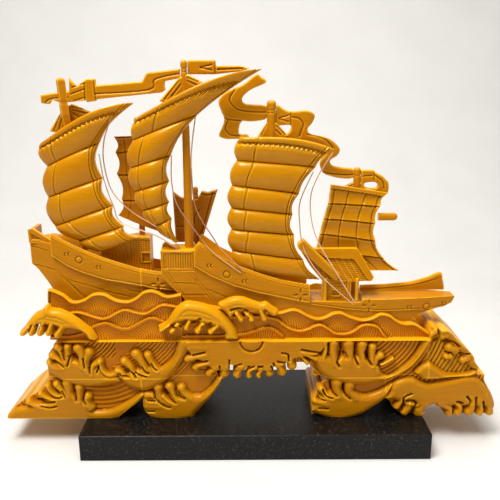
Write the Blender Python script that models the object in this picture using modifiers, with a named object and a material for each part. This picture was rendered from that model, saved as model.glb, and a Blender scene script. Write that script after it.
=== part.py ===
"""Carved boxwood ornament of two junks under sail, on a sea block, a wave stand and a slab plinth.

Run with: blender --background --python part.py
Lengths are written in millimetres and turned to metres when a shape is made.
X runs along the ships, bow to +X. Y runs away from the viewer. Z is up from the plinth's underside.
"""
import math

import bmesh
import bpy
from mathutils import Matrix, Vector

MM = 0.001

# Driving dimensions
GAP = 0.3                       # clearance left between pieces that touch
PLINTH_LENGTH = 406.0
PLINTH_DEPTH = 168.0
PLINTH_HEIGHT = 32.0
SEA_DEPTH = 77.0                # depth of the sea block
STAND_DEPTH = 88.0              # depth of the stand, which shows as a ledge before the sea
STAND_TOP = 131.0               # height of the joint between stand and sea
LEG_TOP = 84.0                  # height where the legs meet the stand's deck
APRON_TOP = 100.0
SEA_BED = 148.0                 # flat bed in the sea block that both hulls lie on
WAVE_WALL = 8.2                 # thickness of the carved wave in front of the front hull
REAR_NEAR_SIDE = -18.0          # Y of the rear hull's near side
REAR_FAR_SIDE = 30.0
FRONT_NEAR_SIDE = -30.0         # Y of the front hull's near side
FRONT_FAR_SIDE = 8.0
STRIP_THICKNESS = 3.0           # bulwark strips on the hulls' sides
SAIL_THICKNESS = 4.0
PENNANT_THICKNESS = 5.0
MAST_RADIUS = 4.6
STAY_RADIUS = 0.7
CURVE_STEPS = 3                 # straight pieces between two points of a rounded outline

FRONT = -SEA_DEPTH / 2
BACK = SEA_DEPTH / 2
STAND_FRONT = -STAND_DEPTH / 2
STAND_BACK = STAND_DEPTH / 2

# Finishes: colour, roughness and metallic value
BOXWOOD = ((0.55, 0.27, 0.03), 0.38, 0.0)
SAIL_WOOD = ((0.62, 0.31, 0.03), 0.32, 0.0)
GRANITE = ((0.012, 0.012, 0.013), 0.35, 0.0)
COPPER = ((0.55, 0.2, 0.09), 0.3, 1.0)


def clear_scene():
    """Remove whatever the scene holds."""
    for item in list(bpy.data.objects):
        bpy.data.objects.remove(item, do_unlink=True)


def make_collection(name):
    """Return a new collection linked to the scene."""
    folder = bpy.data.collections.new(name)
    bpy.context.scene.collection.children.link(folder)
    return folder


def make_material(name, recipe):
    """Return a Principled material for one piece."""
    colour, roughness, metallic = recipe
    paint = bpy.data.materials.new(name)
    paint.use_nodes = True
    shader = paint.node_tree.nodes["Principled BSDF"]
    shader.inputs["Base Color"].default_value = (*colour, 1.0)
    shader.inputs["Roughness"].default_value = roughness
    shader.inputs["Metallic"].default_value = metallic
    return paint


def add_object(name, data, recipe):
    """Put a mesh or a curve in the ornament's collection, with a material of its own."""
    item = bpy.data.objects.new(name, data)
    ornament.objects.link(item)
    data.materials.append(make_material(name + "_finish", recipe))
    return item


def finish_mesh(name, shape, recipe):
    """Turn a bmesh in millimetres into an object in metres."""
    bmesh.ops.recalc_face_normals(shape, faces=shape.faces)
    bmesh.ops.scale(shape, vec=(MM, MM, MM), verts=shape.verts)
    mesh = bpy.data.meshes.new(name)
    shape.to_mesh(mesh)
    shape.free()
    return add_object(name, mesh, recipe)


def outline_curve(name, outline, y_near, y_far, rounded):
    """Return an upright flat curve with thickness; its outline is a list of (X, Z)."""
    curve = bpy.data.curves.new(name, "CURVE")
    curve.dimensions = "2D"
    curve.fill_mode = "BOTH"
    curve.extrude = (y_far - y_near) / 2 * MM
    spline = curve.splines.new("BEZIER")
    spline.bezier_points.add(len(outline) - 1)
    spline.use_cyclic_u = True
    for point, place in zip(spline.bezier_points, outline):
        corner = not rounded or len(place) == 3
        point.co = (place[0] * MM, place[1] * MM, 0.0)
        point.handle_left_type = "VECTOR" if corner else "AUTO"
        point.handle_right_type = "VECTOR" if corner else "AUTO"
    spline.resolution_u = CURVE_STEPS if rounded else 1
    return curve


def plate(name, outline, y_near, y_far, recipe=BOXWOOD, rounded=True):
    """A piece sawn to an outline in X and Z; a third value marks a sharp corner."""
    curve = outline_curve(name, outline, y_near, y_far, rounded)
    item = add_object(name, curve, recipe)
    item.rotation_euler = (math.pi / 2, 0.0, 0.0)
    item.location = (0.0, (y_near + y_far) / 2 * MM, 0.0)
    return item


def bent_plate(name, outline, thickness, y_middle, recipe=BOXWOOD):
    """A plate whose middle plane follows the function y_middle(x)."""
    curve = outline_curve(name + "_outline", outline, -thickness / 2, thickness / 2, True)
    guide = bpy.data.objects.new(name + "_outline", curve)
    ornament.objects.link(guide)
    bpy.context.view_layer.update()
    solid = guide.evaluated_get(bpy.context.evaluated_depsgraph_get())
    mesh = bpy.data.meshes.new_from_object(solid)
    bpy.data.objects.remove(guide, do_unlink=True)
    shape = bmesh.new()
    shape.from_mesh(mesh)
    bpy.data.meshes.remove(mesh)
    bmesh.ops.remove_doubles(shape, verts=shape.verts, dist=0.00001)
    bmesh.ops.triangulate(shape, faces=shape.faces)
    bmesh.ops.scale(shape, vec=(1 / MM, 1 / MM, 1 / MM), verts=shape.verts)
    for vertex in shape.verts:
        x, z, across = vertex.co
        vertex.co = (x, y_middle(x) - across, z)
    return finish_mesh(name, shape, recipe)


def box(name, low, high, recipe, edge=0.0):
    """A squared block between two corners."""
    size = [b - a for a, b in zip(low, high)]
    centre = [(a + b) / 2 for a, b in zip(low, high)]
    shape = bmesh.new()
    bmesh.ops.create_cube(shape, size=1.0)
    bmesh.ops.scale(shape, vec=size, verts=shape.verts)
    bmesh.ops.translate(shape, vec=centre, verts=shape.verts)
    if edge:
        bmesh.ops.bevel(shape, geom=shape.edges, offset=edge, segments=1, profile=0.5,
                        affect="EDGES", material=-1)
    return finish_mesh(name, shape, recipe)


def loft(name, sections, recipe=BOXWOOD):
    """A closed solid through rings of points that have the same count."""
    shape = bmesh.new()
    rings = [[shape.verts.new(place) for place in section] for section in sections]
    count = len(sections[0])
    for ring, after in zip(rings, rings[1:]):
        for i in range(count):
            j = (i + 1) % count
            shape.faces.new((ring[i], ring[j], after[j], after[i]))
    shape.faces.new(reversed(rings[0]))
    shape.faces.new(rings[-1])
    return finish_mesh(name, shape, recipe)


def along(points, x):
    """Read a line of (X, value) points at x, straight between them."""
    if x <= points[0][0]:
        return points[0][1]
    for (x0, v0), (x1, v1) in zip(points, points[1:]):
        if x <= x1:
            return v0 + (v1 - v0) * (x - x0) / (x1 - x0)
    return points[-1][1]


def spar(name, foot, head, foot_radius, head_radius, recipe=BOXWOOD):
    """A round tapered pole from its foot to its head."""
    start, end = Vector(foot), Vector(head)
    run = end - start
    shape = bmesh.new()
    bmesh.ops.create_cone(shape, cap_ends=True, segments=16, radius1=foot_radius,
                          radius2=head_radius, depth=run.length)
    turn = Vector((0, 0, 1)).rotation_difference(run).to_matrix().to_4x4()
    bmesh.ops.transform(shape, matrix=Matrix.Translation((start + end) / 2) @ turn,
                        verts=shape.verts)
    return finish_mesh(name, shape, recipe)


def stay(name, route):
    """A copper wire along a smooth curve through the route's points."""
    ends = [route[0]] + route + [route[-1]]
    curve = bpy.data.curves.new(name, "CURVE")
    curve.dimensions = "3D"
    curve.bevel_depth = STAY_RADIUS * MM
    curve.bevel_resolution = 1
    curve.use_fill_caps = True
    places = []
    for a, b, c, d in zip(ends, ends[1:], ends[2:], ends[3:]):
        a, b, c, d = Vector(a), Vector(b), Vector(c), Vector(d)
        for step in range(4):
            t = step / 4
            places.append(0.5 * ((2 * b) + (c - a) * t + (2 * a - 5 * b + 4 * c - d) * t * t
                                 + (3 * b - a - 3 * c + d) * t * t * t))
    places.append(Vector(route[-1]))
    spline = curve.splines.new("POLY")
    spline.points.add(len(places) - 1)
    for point, place in zip(spline.points, places):
        point.co = (*(place * MM), 1.0)
    return add_object(name, curve, COPPER)


def sail(name, left, right, rise, y_edge, belly, billow, rows=4, columns=10):
    """A carved sail of bands between seams.

    left and right hold the (X, Z) ends of each seam, top to bottom; rise lifts the middle of a
    seam; belly and billow are how far the sail and each band stand out towards the viewer.
    """
    bands = len(left) - 1
    shape = bmesh.new()
    bmesh.ops.create_grid(shape, x_segments=columns, y_segments=bands * rows, size=1.0)
    for vertex in shape.verts:
        u = (vertex.co.x + 1) / 2
        down = (1 - vertex.co.y) / 2 * bands
        band = min(int(down + 0.001), bands - 1)
        t = down - band
        puff = math.sin(math.pi * min(max(t, 0.0), 1.0))
        x0 = left[band][0] + (left[band + 1][0] - left[band][0]) * t - billow * puff
        z0 = left[band][1] + (left[band + 1][1] - left[band][1]) * t
        x1 = right[band][0] + (right[band + 1][0] - right[band][0]) * t
        z1 = right[band][1] + (right[band + 1][1] - right[band][1]) * t
        arch = 4 * u * (1 - u)
        fade = 1 - down / bands
        vertex.co.x = x0 + (x1 - x0) * u
        vertex.co.z = z0 + (z1 - z0) * u + rise * arch * (0.35 + 0.65 * fade)
        vertex.co.y = y_edge - belly * arch - billow * puff * (0.3 + 0.7 * arch)
    bmesh.ops.recalc_face_normals(shape, faces=shape.faces)
    item = finish_mesh(name, shape, SAIL_WOOD)
    wall = item.modifiers.new("thickness", "SOLIDIFY")
    wall.thickness = SAIL_THICKNESS * MM
    wall.offset = 0.0
    return item


clear_scene()
ornament = make_collection("junk_ornament")

# The slab plinth and the stand's legs
box("plinth", (-PLINTH_LENGTH / 2, -PLINTH_DEPTH / 2, 0),
    (PLINTH_LENGTH / 2, PLINTH_DEPTH / 2, PLINTH_HEIGHT), GRANITE, edge=0.8)

LEG_FOOT = PLINTH_HEIGHT + GAP
plate("stand_left_foot",
      [(-299, LEG_FOOT, "c"), (-283, 51), (-261, 63), (-250, 74), (-241, LEG_TOP - GAP, "c"),
       (-135, LEG_TOP - GAP, "c"), (-135, 62, "c"), (-150, 49), (-163, 37), (-172, LEG_FOOT, "c")],
      STAND_FRONT, STAND_BACK)
plate("stand_second_leg",
      [(-134.7, LEG_TOP - GAP, "c"), (-39, LEG_TOP - GAP, "c"), (-44, 69), (-52, 57), (-63, 43),
       (-76, LEG_FOOT, "c"), (-121, LEG_FOOT, "c"), (-131, 45), (-134.7, 62, "c")],
      STAND_FRONT, STAND_BACK)
plate("stand_right_leg",
      [(88, LEG_TOP - GAP, "c"), (81, 68), (73, 56), (70, 42), (76, LEG_FOOT, "c"),
       (108, LEG_FOOT, "c"), (129, 38), (144, 47), (156.7, 57, "c"), (156.7, LEG_TOP - GAP, "c")],
      STAND_FRONT, STAND_BACK)
plate("stand_right_foot",
      [(157, LEG_TOP - GAP, "c"), (157, 54, "c"), (168, 42), (179, LEG_FOOT, "c"),
       (206, LEG_FOOT, "c"), (211, 41), (219, 44), (227, 41), (232, LEG_FOOT, "c"),
       (284, LEG_FOOT, "c"), (288, 39), (284, 53), (275, 68), (262, LEG_TOP - GAP, "c")],
      STAND_FRONT, STAND_BACK)

# The stand's deck, the crest at its right end and the aprons of foam between the legs
plate("stand_deck",
      [(-233, STAND_TOP, "c"), (-240, 124), (-245, 112), (-247, 98), (-242, LEG_TOP, "c"),
       (-50, LEG_TOP, "c"), (-48, APRON_TOP, "c"), (66, APRON_TOP, "c"), (68, LEG_TOP, "c"),
       (205, LEG_TOP, "c"), (205, STAND_TOP, "c")],
      STAND_FRONT, STAND_BACK)
plate("stand_right_crest",
      [(205.3, LEG_TOP, "c"), (205.3, 140, "c"), (212, 145), (223, 140), (243, 123), (257, 111),
       (266, 95), (264, LEG_TOP, "c")],
      STAND_FRONT, STAND_BACK)
APRON_FINGERS = [(-44, 99.7, "c"), (-40, 88), (-35, 82), (-28, 88), (-21, 80), (-14, 88), (-6, 80), (1, 88),
                 (8, 80), (14, 88), (20, 81), (27, 89), (34, 83), (40, 92), (48, 88), (52, 97),
                 (58, 99.7, "c")]
APRON_THICKNESS = 12.0
plate("stand_front_apron", APRON_FINGERS, STAND_FRONT, STAND_FRONT + APRON_THICKNESS)
plate("stand_back_apron", APRON_FINGERS, STAND_BACK - APRON_THICKNESS, STAND_BACK)

# The sea block, its carved wave walls and the foam curls that stand on them
SEA_BOTTOM = STAND_TOP + GAP
plate("sea_core",
      [(-228, SEA_BOTTOM, "c"), (-228, SEA_BED, "c"), (186, SEA_BED, "c"), (204.7, SEA_BOTTOM, "c")],
      FRONT + WAVE_WALL + GAP, BACK - WAVE_WALL - GAP)
LEFT_CREST = [(-239, 176), (-240, 193, "c"), (-222, 187), (-211, 178), (-199, 180), (-187, 187),
              (-174, 187), (-161, 180), (-148, 178), (-138, 182), (-129, 189), (-120, 191),
              (-112, 189), (-101, 184), (-88, 186)]
FRONT_WAVE_BACK = FRONT + WAVE_WALL
plate("sea_front_left",
      [(-88, SEA_BOTTOM, "c"), (-228.3, SEA_BOTTOM, "c"), (-236, 150)] + LEFT_CREST
      + [(-85.3, 184, "c"), (-85.3, SEA_BOTTOM, "c")],
      FRONT, FRONT_WAVE_BACK)
RIGHT_CREST = [(-84, 174, "c"), (-60, 173), (-30, 168), (0, 165), (26, 163), (42, 167), (51, 166),
               (62, 160), (72, 156), (81, 157), (91, 162), (101, 163), (112, 158), (126, 154),
               (137, 156), (147, 161), (158, 159), (168, 152), (176, 149), (189, 148), (204.7, 137, "c")]
plate("sea_front_right",
      [(204.7, SEA_BOTTOM, "c"), (-85, SEA_BOTTOM, "c"), (-85, 174, "c")] + RIGHT_CREST[1:],
      FRONT, FRONT_WAVE_BACK)
plate("sea_back",
      [(204.7, SEA_BOTTOM, "c"), (-228, SEA_BOTTOM, "c"), (-236, 150), (-239, 172), (-238, 186, "c"),
       (-215, 176), (-192, 183), (-168, 176), (-140, 180), (-115, 187), (-90, 180), (-60, 172),
       (-30, 176), (0, 166), (30, 162), (60, 168), (90, 158), (120, 153), (150, 158), (178, 150),
       (204.7, 137, "c")],
      BACK - WAVE_WALL, BACK)

FOAM_DEPTH = 11.0
RIGHT_FOAM_DEPTH = 8.0
BACK_FOAM_DEPTH = 7.0
LEFT_CURL = [(-197, 132, "c"), (-189, 149), (-211, 166), (-228, 171), (-238, 176), (-255, 167),
             (-265, 155), (-272, 142, "c"), (-259, 148), (-249, 146), (-240, 147), (-232, 141),
             (-225, 147), (-214, 148), (-203, 140), (-199, 132, "c")]
MIDDLE_CURL = [(-23, 132, "c"), (-26, 148), (-41, 160), (-59, 173), (-76, 178), (-88, 173),
               (-100, 160), (-112, 147, "c"), (-105, 151), (-97, 145), (-87, 151), (-78, 145),
               (-68, 151), (-58, 145), (-49, 150), (-43, 144), (-36, 132, "c")]
RIGHT_CURL = [(-42, 176), (-35, 181), (-22, 184), (-11, 183), (-2, 179), (11, 178), (20, 172),
              (27, 165), (25, 160), (17, 162), (11, 157), (4, 160), (-3, 153), (-10, 158),
              (-16, 155), (-23, 162), (-29, 163), (-36, 169)]

plate("foam_left", LEFT_CURL, FRONT - GAP - FOAM_DEPTH, FRONT - GAP)
plate("foam_middle", MIDDLE_CURL, FRONT - GAP - FOAM_DEPTH, FRONT - GAP)
plate("foam_right", RIGHT_CURL, FRONT - GAP - RIGHT_FOAM_DEPTH, FRONT - GAP)
plate("foam_back_left", MIDDLE_CURL, BACK + GAP, BACK + GAP + BACK_FOAM_DEPTH)
BACK_CURL_SHIFT = 155
BACK_CURL_DROP = 6
CURL_FOOT = 133
plate("foam_back_right",
      [(x + BACK_CURL_SHIFT, z - BACK_CURL_DROP if z > CURL_FOOT else z, *rest)
       for x, z, *rest in MIDDLE_CURL], BACK + GAP, BACK + GAP + BACK_FOAM_DEPTH)

# The rear hull and its bulwark strips
REAR_RAIL = [(-236, 256), (-233, 254), (-215, 244), (-198, 236), (-181, 228), (-163, 222),
             (-140, 214), (-127, 211), (-110, 208), (-80, 210), (-55, 216), (-38, 224)]
REAR_STRIP_FOOT = [(-236, 230), (-217, 216), (-200, 208), (-174, 199), (-141, 193), (-119, 188),
                   (-80, 190), (-55, 197), (-38, 208)]
REAR_KEEL = [(-262, 218), (-254, 211), (-243, 196), (-228, 170), (-214, SEA_BED + GAP),
             (-62, SEA_BED + GAP), (-48, 170), (-38, 200)]
REAR_NEAR = [(-262, -12), (-236, REAR_NEAR_SIDE), (-133, REAR_NEAR_SIDE), (-116, 4),
             (-110, 8.6), (-80, 10), (-38, 15)]
REAR_FAR = [(-262, 22), (-236, REAR_FAR_SIDE), (-120, REAR_FAR_SIDE), (-80, 28), (-38, 21)]
DECK_DROP = 11.0
REAR_DECK = [(-262, 243)] + [(x, z - DECK_DROP) for x, z in REAR_RAIL]


def hull(name, stations, keel, deck, near, far, tuck):
    """A solid hull through stations along X, a little narrower at its foot than at its deck."""
    sections = []
    for x in stations:
        low, high = along(keel, x), along(deck, x)
        y0, y1 = along(near, x), along(far, x)
        mid = low + (high - low) * 0.45
        sections.append([(x, y0 + tuck, low), (x, y0 + 1, mid), (x, y0, high),
                         (x, y1, high), (x, y1 - 1, mid), (x, y1 - tuck, low)])
    return loft(name, sections)


def side_strip(name, stations, top, foot, side, outward):
    """A strip that follows one side of a hull; outward is -1 near the viewer and 1 behind."""
    sections = []
    for x in stations:
        inner = along(side, x) + outward * GAP
        outer = inner + outward * STRIP_THICKNESS
        low, high = along(foot, x), along(top, x)
        sections.append([(x, inner, low), (x, outer, low), (x, outer, high), (x, inner, high)])
    return loft(name, sections)


hull("rear_hull",
     [-262, -254, -243, -236, -228, -214, -198, -181, -163, -140, -133, -127, -116, -110, -95,
      -80, -62, -48, -38],
     REAR_KEEL, REAR_DECK, REAR_NEAR, REAR_FAR, 3.0)
side_strip("rear_bulwark_near", [-235, -233, -215, -198, -181, -163, -140, -133],
           REAR_RAIL, REAR_STRIP_FOOT, REAR_NEAR, -1)
side_strip("rear_bulwark_far", [-235, -233, -215, -198, -181, -163, -140, -120, -80, -60],
           REAR_RAIL, REAR_STRIP_FOOT, REAR_FAR, 1)
STERN_RAIL_NEAR, STERN_RAIL_FAR = -8, 18
loft("rear_stern_rail",
     [[(x, STERN_RAIL_NEAR, along(REAR_DECK, x) + GAP), (x, STERN_RAIL_FAR, along(REAR_DECK, x) + GAP),
       (x, STERN_RAIL_FAR, top), (x, STERN_RAIL_NEAR, top)]
      for x, top in [(-261, 258), (-257, 259)]])

# The front hull, its bulwark strips, gallery and bow deck
FRONT_RAIL = [(-66, 246), (-63, 248), (-41, 231), (-15, 218), (7, 209), (29, 202), (52, 198),
              (64, 196)]
FRONT_STRIP_FOOT = [(-70, 220), (-50, 207), (-24, 195), (2, 187), (29, 181), (52, 176), (64, 174)]
FRONT_DECK = [(-108, 212.4), (-68.5, 212.4), (-66, 222), (-41, 214), (-15, 203), (7, 196), (29, 190),
              (52, 186), (64, 184), (66, 176), (124.6, 174), (127, 178), (234, 177), (237, 177)]
FRONT_KEEL = [(-108, 205), (-83, 179), (-61, SEA_BED + GAP), (183, SEA_BED + GAP), (188, 153),
              (204, 164), (226, 167), (234, 172), (237, 176)]
FRONT_NEAR = [(-108, -27), (-80, FRONT_NEAR_SIDE), (150, FRONT_NEAR_SIDE), (200, -24),
              (237, -17)]
FRONT_FAR = [(-108, 5), (-80, FRONT_FAR_SIDE), (150, FRONT_FAR_SIDE), (200, 4), (237, -4)]
hull("front_hull",
     [-108, -83, -68.5, -66, -61, -41, -15, 7, 29, 52, 64, 66, 90, 124.6, 127, 150, 183, 188, 204,
      226, 234, 237],
     FRONT_KEEL, FRONT_DECK, FRONT_NEAR, FRONT_FAR, 2.0)
STRIP_STATIONS = [-66, -63, -41, -15, 7, 29, 52, 64]
side_strip("front_bulwark_near", STRIP_STATIONS, FRONT_RAIL, FRONT_STRIP_FOOT, FRONT_NEAR, -1)
side_strip("front_bulwark_far", STRIP_STATIONS, FRONT_RAIL, FRONT_STRIP_FOOT, FRONT_FAR, 1)
box("stern_gallery", (-108, -27, 212.7), (-69, 5, 236), BOXWOOD, edge=0.5)
BOW_DECK_BOTTOM = 178.3
plate("bow_rail_far",
      [(128, BOW_DECK_BOTTOM, "c"), (128, 190, "c"), (164, 190, "c"), (195, 193), (221, 200, "c"),
       (222, 186, "c"), (230, 182, "c"), (230, BOW_DECK_BOTTOM, "c")], 0, 4)

# Deckhouses
HOUSE_DEPTH = 22.0
plate("rear_deckhouse",
      [(-183, along(REAR_DECK, -183) + GAP, "c"), (-183, 246, "c"), (-124, 246, "c"),
       (-124, along(REAR_DECK, -124) + GAP, "c"), (-163, along(REAR_DECK, -163) + GAP, "c")],
      1, 1 + HOUSE_DEPTH, rounded=False)
plate("front_deckhouse",
      [(80, 176.2, "c"), (80, 200, "c"), (113, 200, "c"), (113, 175, "c")],
      -25, -12, rounded=False)
ROOF_RIDGE, ROOF_EAVE = 236.0, 200.3
loft("front_deckhouse_roof",
     [[(58, -19, ROOF_RIDGE), (118, -19, ROOF_RIDGE), (136, -28, ROOF_EAVE), (92, -28, ROOF_EAVE)],
      [(58, -17, ROOF_RIDGE), (118, -17, ROOF_RIDGE), (136, -9.5, ROOF_EAVE), (92, -9.5, ROOF_EAVE)]])

# Masts
REAR_MAST_Y = 3.9
TALL_MAST_Y = -10.0
FORE_MAST_Y = 3.0
spar("rear_mast", (-202, REAR_MAST_Y, 230), (-213, REAR_MAST_Y, 428), MAST_RADIUS, 5.4)
spar("rear_fore_mast", (-70, 23, 202.8), (-70, 23, 302), 3.6, 3.2)
spar("rear_inner_mast", (-135, 16, 246.3), (-135, 16, 384), 3.6, 3.2)
spar("tall_mast", (-76, TALL_MAST_Y, 236.3), (-76, TALL_MAST_Y, 446), 5.2, 3.6)
spar("middle_mast", (19.5, TALL_MAST_Y, 194), (19.5, TALL_MAST_Y, 403), MAST_RADIUS, 5.2)
spar("fore_mast", (119.5, FORE_MAST_Y, 174.6), (119.5, FORE_MAST_Y, 327), 4.0, 4.0)

# Sails
sail("rear_sail",
     [(-241, 357), (-236, 331), (-238, 295), (-233, 261), (-207, 243)],
     [(-133, 401), (-175, 355), (-175, 317), (-166, 285), (-158, 260)],
     rise=11, y_edge=-2, belly=6, billow=4)
sail("tall_sail",
     [(-127, 387), (-134, 361), (-139, 330), (-134, 304), (-127, 282), (-114, 264), (-93, 245)],
     [(9, 436), (-62, 388), (-93, 344), (-96, 315), (-97, 291), (-95, 272), (-88, 244)],
     rise=16, y_edge=-15.2, belly=8, billow=4)
sail("middle_sail",
     [(-15, 364), (-19, 338), (-25, 310), (-26, 284), (-26, 259), (-26, 234), (-20, 219)],
     [(89, 350), (68, 333), (51, 300), (44, 276), (46, 252), (57, 222), (71, 202)],
     rise=6, y_edge=-13.6, belly=4, billow=4)
sail("fore_sail",
     [(88, 309), (86, 288), (81, 270), (77, 252), (73, 237)],
     [(153, 299), (146, 284), (141, 264), (143, 243), (158, 218)],
     rise=0, y_edge=-6, belly=-2.5, billow=0.3, columns=6, rows=2)
sail("rear_inner_sail",
     [(-159, 366), (-160, 345), (-162, 320), (-157, 290), (-158, 262)],
     [(-133, 384), (-122, 350), (-112, 320), (-108, 290), (-112, 262)],
     rise=0, y_edge=11, belly=3, billow=1, columns=4, rows=2)
sail("rear_fore_sail",
     [(-97, 300), (-97, 278), (-96, 256), (-95, 236)],
     [(-43, 301), (-48, 278), (-55, 256), (-63, 236)],
     rise=-4, y_edge=18.5, belly=2, billow=0, columns=4, rows=2)

# The pole at the fore sail's edge, and the pennants at the mast heads
plate("fore_sail_pole",
      [(144.4, 275, "c"), (164, 275, "c"), (167, 271), (164, 267, "c"), (144.4, 266, "c")], -9, -3)


def lean_over(x, x0, x1, y0, y1):
    """Go straight from y0 at x0 to y1 at x1, and stay level beyond both."""
    reach = min(max((x - x0) / (x1 - x0), 0), 1)
    return y0 * (1 - reach) + y1 * reach


def rear_pennant_y(x):
    """From the rear mast's near side to the tall mast's near side."""
    return lean_over(x, -207, -82, REAR_MAST_Y - 8.4, TALL_MAST_Y)


bent_plate("rear_pennant",
           [(-236, 410), (-236, 401), (-216, 400), (-204, 402), (-186, 404), (-175, 405), (-101, 412),
            (-97, 424), (-80.6, 427, "c"), (-80.4, 437, "c"), (-117, 433), (-122, 424), (-174, 420),
            (-174, 426), (-185, 426), (-195, 419), (-203, 428), (-204, 414)],
           PENNANT_THICKNESS, rear_pennant_y)


def level(y):
    """A middle plane that doesn't bend."""
    return lambda x: y


bent_plate("tall_pennant",
           [(-72.2, 446, "c"), (-42, 446, "c"), (-41, 440), (-14, 440), (-4, 437, "c"), (-14, 434),
            (-42, 431, "c"), (-72.2, 431, "c")],
           PENNANT_THICKNESS, level(TALL_MAST_Y + 4))


def middle_pennant_y(x):
    """From the middle mast to the fore mast."""
    return lean_over(x, 60, 114, TALL_MAST_Y + 1.8, FORE_MAST_Y)


bent_plate("middle_pennant",
           [(25.2, 398, "c"), (40, 391), (58, 392), (68, 386), (60, 372), (64, 366), (82, 362), (99, 348),
            (87, 336), (90, 330), (115, 325, "c"), (115, 316, "c"), (90, 317), (78, 319), (74, 333), (84, 345),
            (78, 354), (56, 360), (44, 370), (34, 366), (25.2, 376, "c")],
           PENNANT_THICKNESS, middle_pennant_y)
bent_plate("loop_pennant",
           [(8, 425), (-4, 416), (-13, 407), (-8, 401), (14.3, 399, "c"), (14.3, 384, "c"), (-15, 380), (-19, 363),
            (-32, 361), (-40, 364), (-37, 374), (-35, 388), (-38, 403), (-29, 413), (-12, 420),
            (2, 431)],
           PENNANT_THICKNESS, level(TALL_MAST_Y + 5))
bent_plate("fore_pennant",
           [(123.9, 324, "c"), (138, 324), (147, 317), (154, 310), (154, 302), (148, 303), (144, 310),
            (123.9, 311, "c")],
           PENNANT_THICKNESS, level(FORE_MAST_Y))

# The main stays
stay("stay_rear_long", [(-158, -10.2, 386), (-167, -15, 360), (-168, -17, 333), (-160, -17, 302),
                        (-141, -8, 278), (-112, -6, 258), (-86, -14, 237)])
stay("stay_rear_short", [(-175, -8.5, 345), (-170, -13, 315), (-160, -17, 285), (-152, -19, 268),
                         (-112, -20, 252), (-90, -20.5, 237)])
stay("stay_tall_long", [(-92, -18.4, 344), (-93, -19, 316), (-88, -20, 290), (-73, -26, 268),
                        (-55, -33, 245), (-42, -34.6, 232), (-16, -34.6, 212)])
stay("stay_tall_short", [(-64, -18.6, 387), (-69, -21, 352), (-70, -19, 322), (-66, -24, 285),
                         (-47, -34, 254), (-36, -34.6, 238), (-12, -34.6, 214)])
stay("stay_middle_long", [(66, -25, 326), (52, -28, 295), (51, -29, 272), (56, -30, 240),
                          (76, -32, 208), (116, -31, 171)])
stay("stay_middle_short", [(87, -23.5, 347), (74, -24, 326), (64, -26, 302), (64, -27, 276),
                           (72, -28, 248), (92, -31, 214), (118, -31, 172)])
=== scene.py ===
"""Carved boxwood ornament of two junks under sail: its looks, piece by piece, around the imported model."""
import math

import bmesh
import bpy
import numpy as np
from mathutils import Matrix, Vector


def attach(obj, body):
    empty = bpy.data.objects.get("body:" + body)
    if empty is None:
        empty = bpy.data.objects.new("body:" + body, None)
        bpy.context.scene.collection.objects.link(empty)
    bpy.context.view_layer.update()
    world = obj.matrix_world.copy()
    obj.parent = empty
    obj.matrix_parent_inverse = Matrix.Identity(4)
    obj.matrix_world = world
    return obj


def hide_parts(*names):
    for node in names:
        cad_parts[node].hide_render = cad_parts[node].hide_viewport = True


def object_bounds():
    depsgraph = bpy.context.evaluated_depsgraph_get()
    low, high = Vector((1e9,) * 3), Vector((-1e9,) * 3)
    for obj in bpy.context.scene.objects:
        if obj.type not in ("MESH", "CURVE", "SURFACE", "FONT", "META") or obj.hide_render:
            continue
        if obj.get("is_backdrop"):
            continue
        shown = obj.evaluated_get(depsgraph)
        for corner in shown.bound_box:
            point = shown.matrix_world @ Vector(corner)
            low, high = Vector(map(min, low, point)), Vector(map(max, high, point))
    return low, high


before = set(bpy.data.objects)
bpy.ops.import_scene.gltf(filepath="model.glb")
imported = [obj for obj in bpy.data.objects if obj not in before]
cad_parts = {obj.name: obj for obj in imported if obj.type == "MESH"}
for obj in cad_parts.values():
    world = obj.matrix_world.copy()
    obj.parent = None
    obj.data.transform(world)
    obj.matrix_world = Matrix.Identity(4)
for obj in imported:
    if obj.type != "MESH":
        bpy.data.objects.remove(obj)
CAD_BOX = [list(corner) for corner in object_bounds()]

# The view
# A plain pale table and soft studio light. The camera was fitted to the slab's four visible corners
# in the photograph: just left of the middle, a little above the mast heads, looking slightly down.
MM = 0.001
scene = bpy.context.scene
scene.view_settings.view_transform = "Standard"

CAMERA_PLACE = (-5.0, -705.0, 421.0)
CAMERA_PITCH = 15.2
CAMERA_ROLL = -0.3
FIELD_OF_VIEW = 44.4
camera = bpy.data.objects.new("camera", bpy.data.cameras.new("camera"))
camera.data.angle = math.radians(FIELD_OF_VIEW)
camera.data.clip_start = 0.01
camera.location = Vector(CAMERA_PLACE) * MM
turn = Matrix.Rotation(math.radians(90 - CAMERA_PITCH), 4, "X") @ Matrix.Rotation(math.radians(CAMERA_ROLL), 4, "Z")
camera.rotation_euler = turn.to_euler()
scene.collection.objects.link(camera)
scene.camera = camera


def linear(code):
    """Turn an sRGB hex colour into the linear colour that a shader takes."""
    parts = [int(code[i:i + 2], 16) / 255 for i in (1, 3, 5)]
    return tuple(p / 12.92 if p <= 0.04045 else ((p + 0.055) / 1.055) ** 2.4 for p in parts) + (1.0,)


def add_node(tree, kind, links=(), **settings):
    """Add a shader node; settings with a number or colour go to the input of that name."""
    node = tree.nodes.new(kind)
    for key, value in settings.items():
        if hasattr(node, key):
            setattr(node, key, value)
        else:
            node.inputs[key.replace("_", " ")].default_value = value
    for source, target in links:
        tree.links.new(source, node.inputs[target])
    return node


def new_material(name):
    """Return a material, its node tree and its Principled shader."""
    paint = bpy.data.materials.new(name)
    paint.use_nodes = True
    return paint, paint.node_tree, paint.node_tree.nodes["Principled BSDF"]


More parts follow.
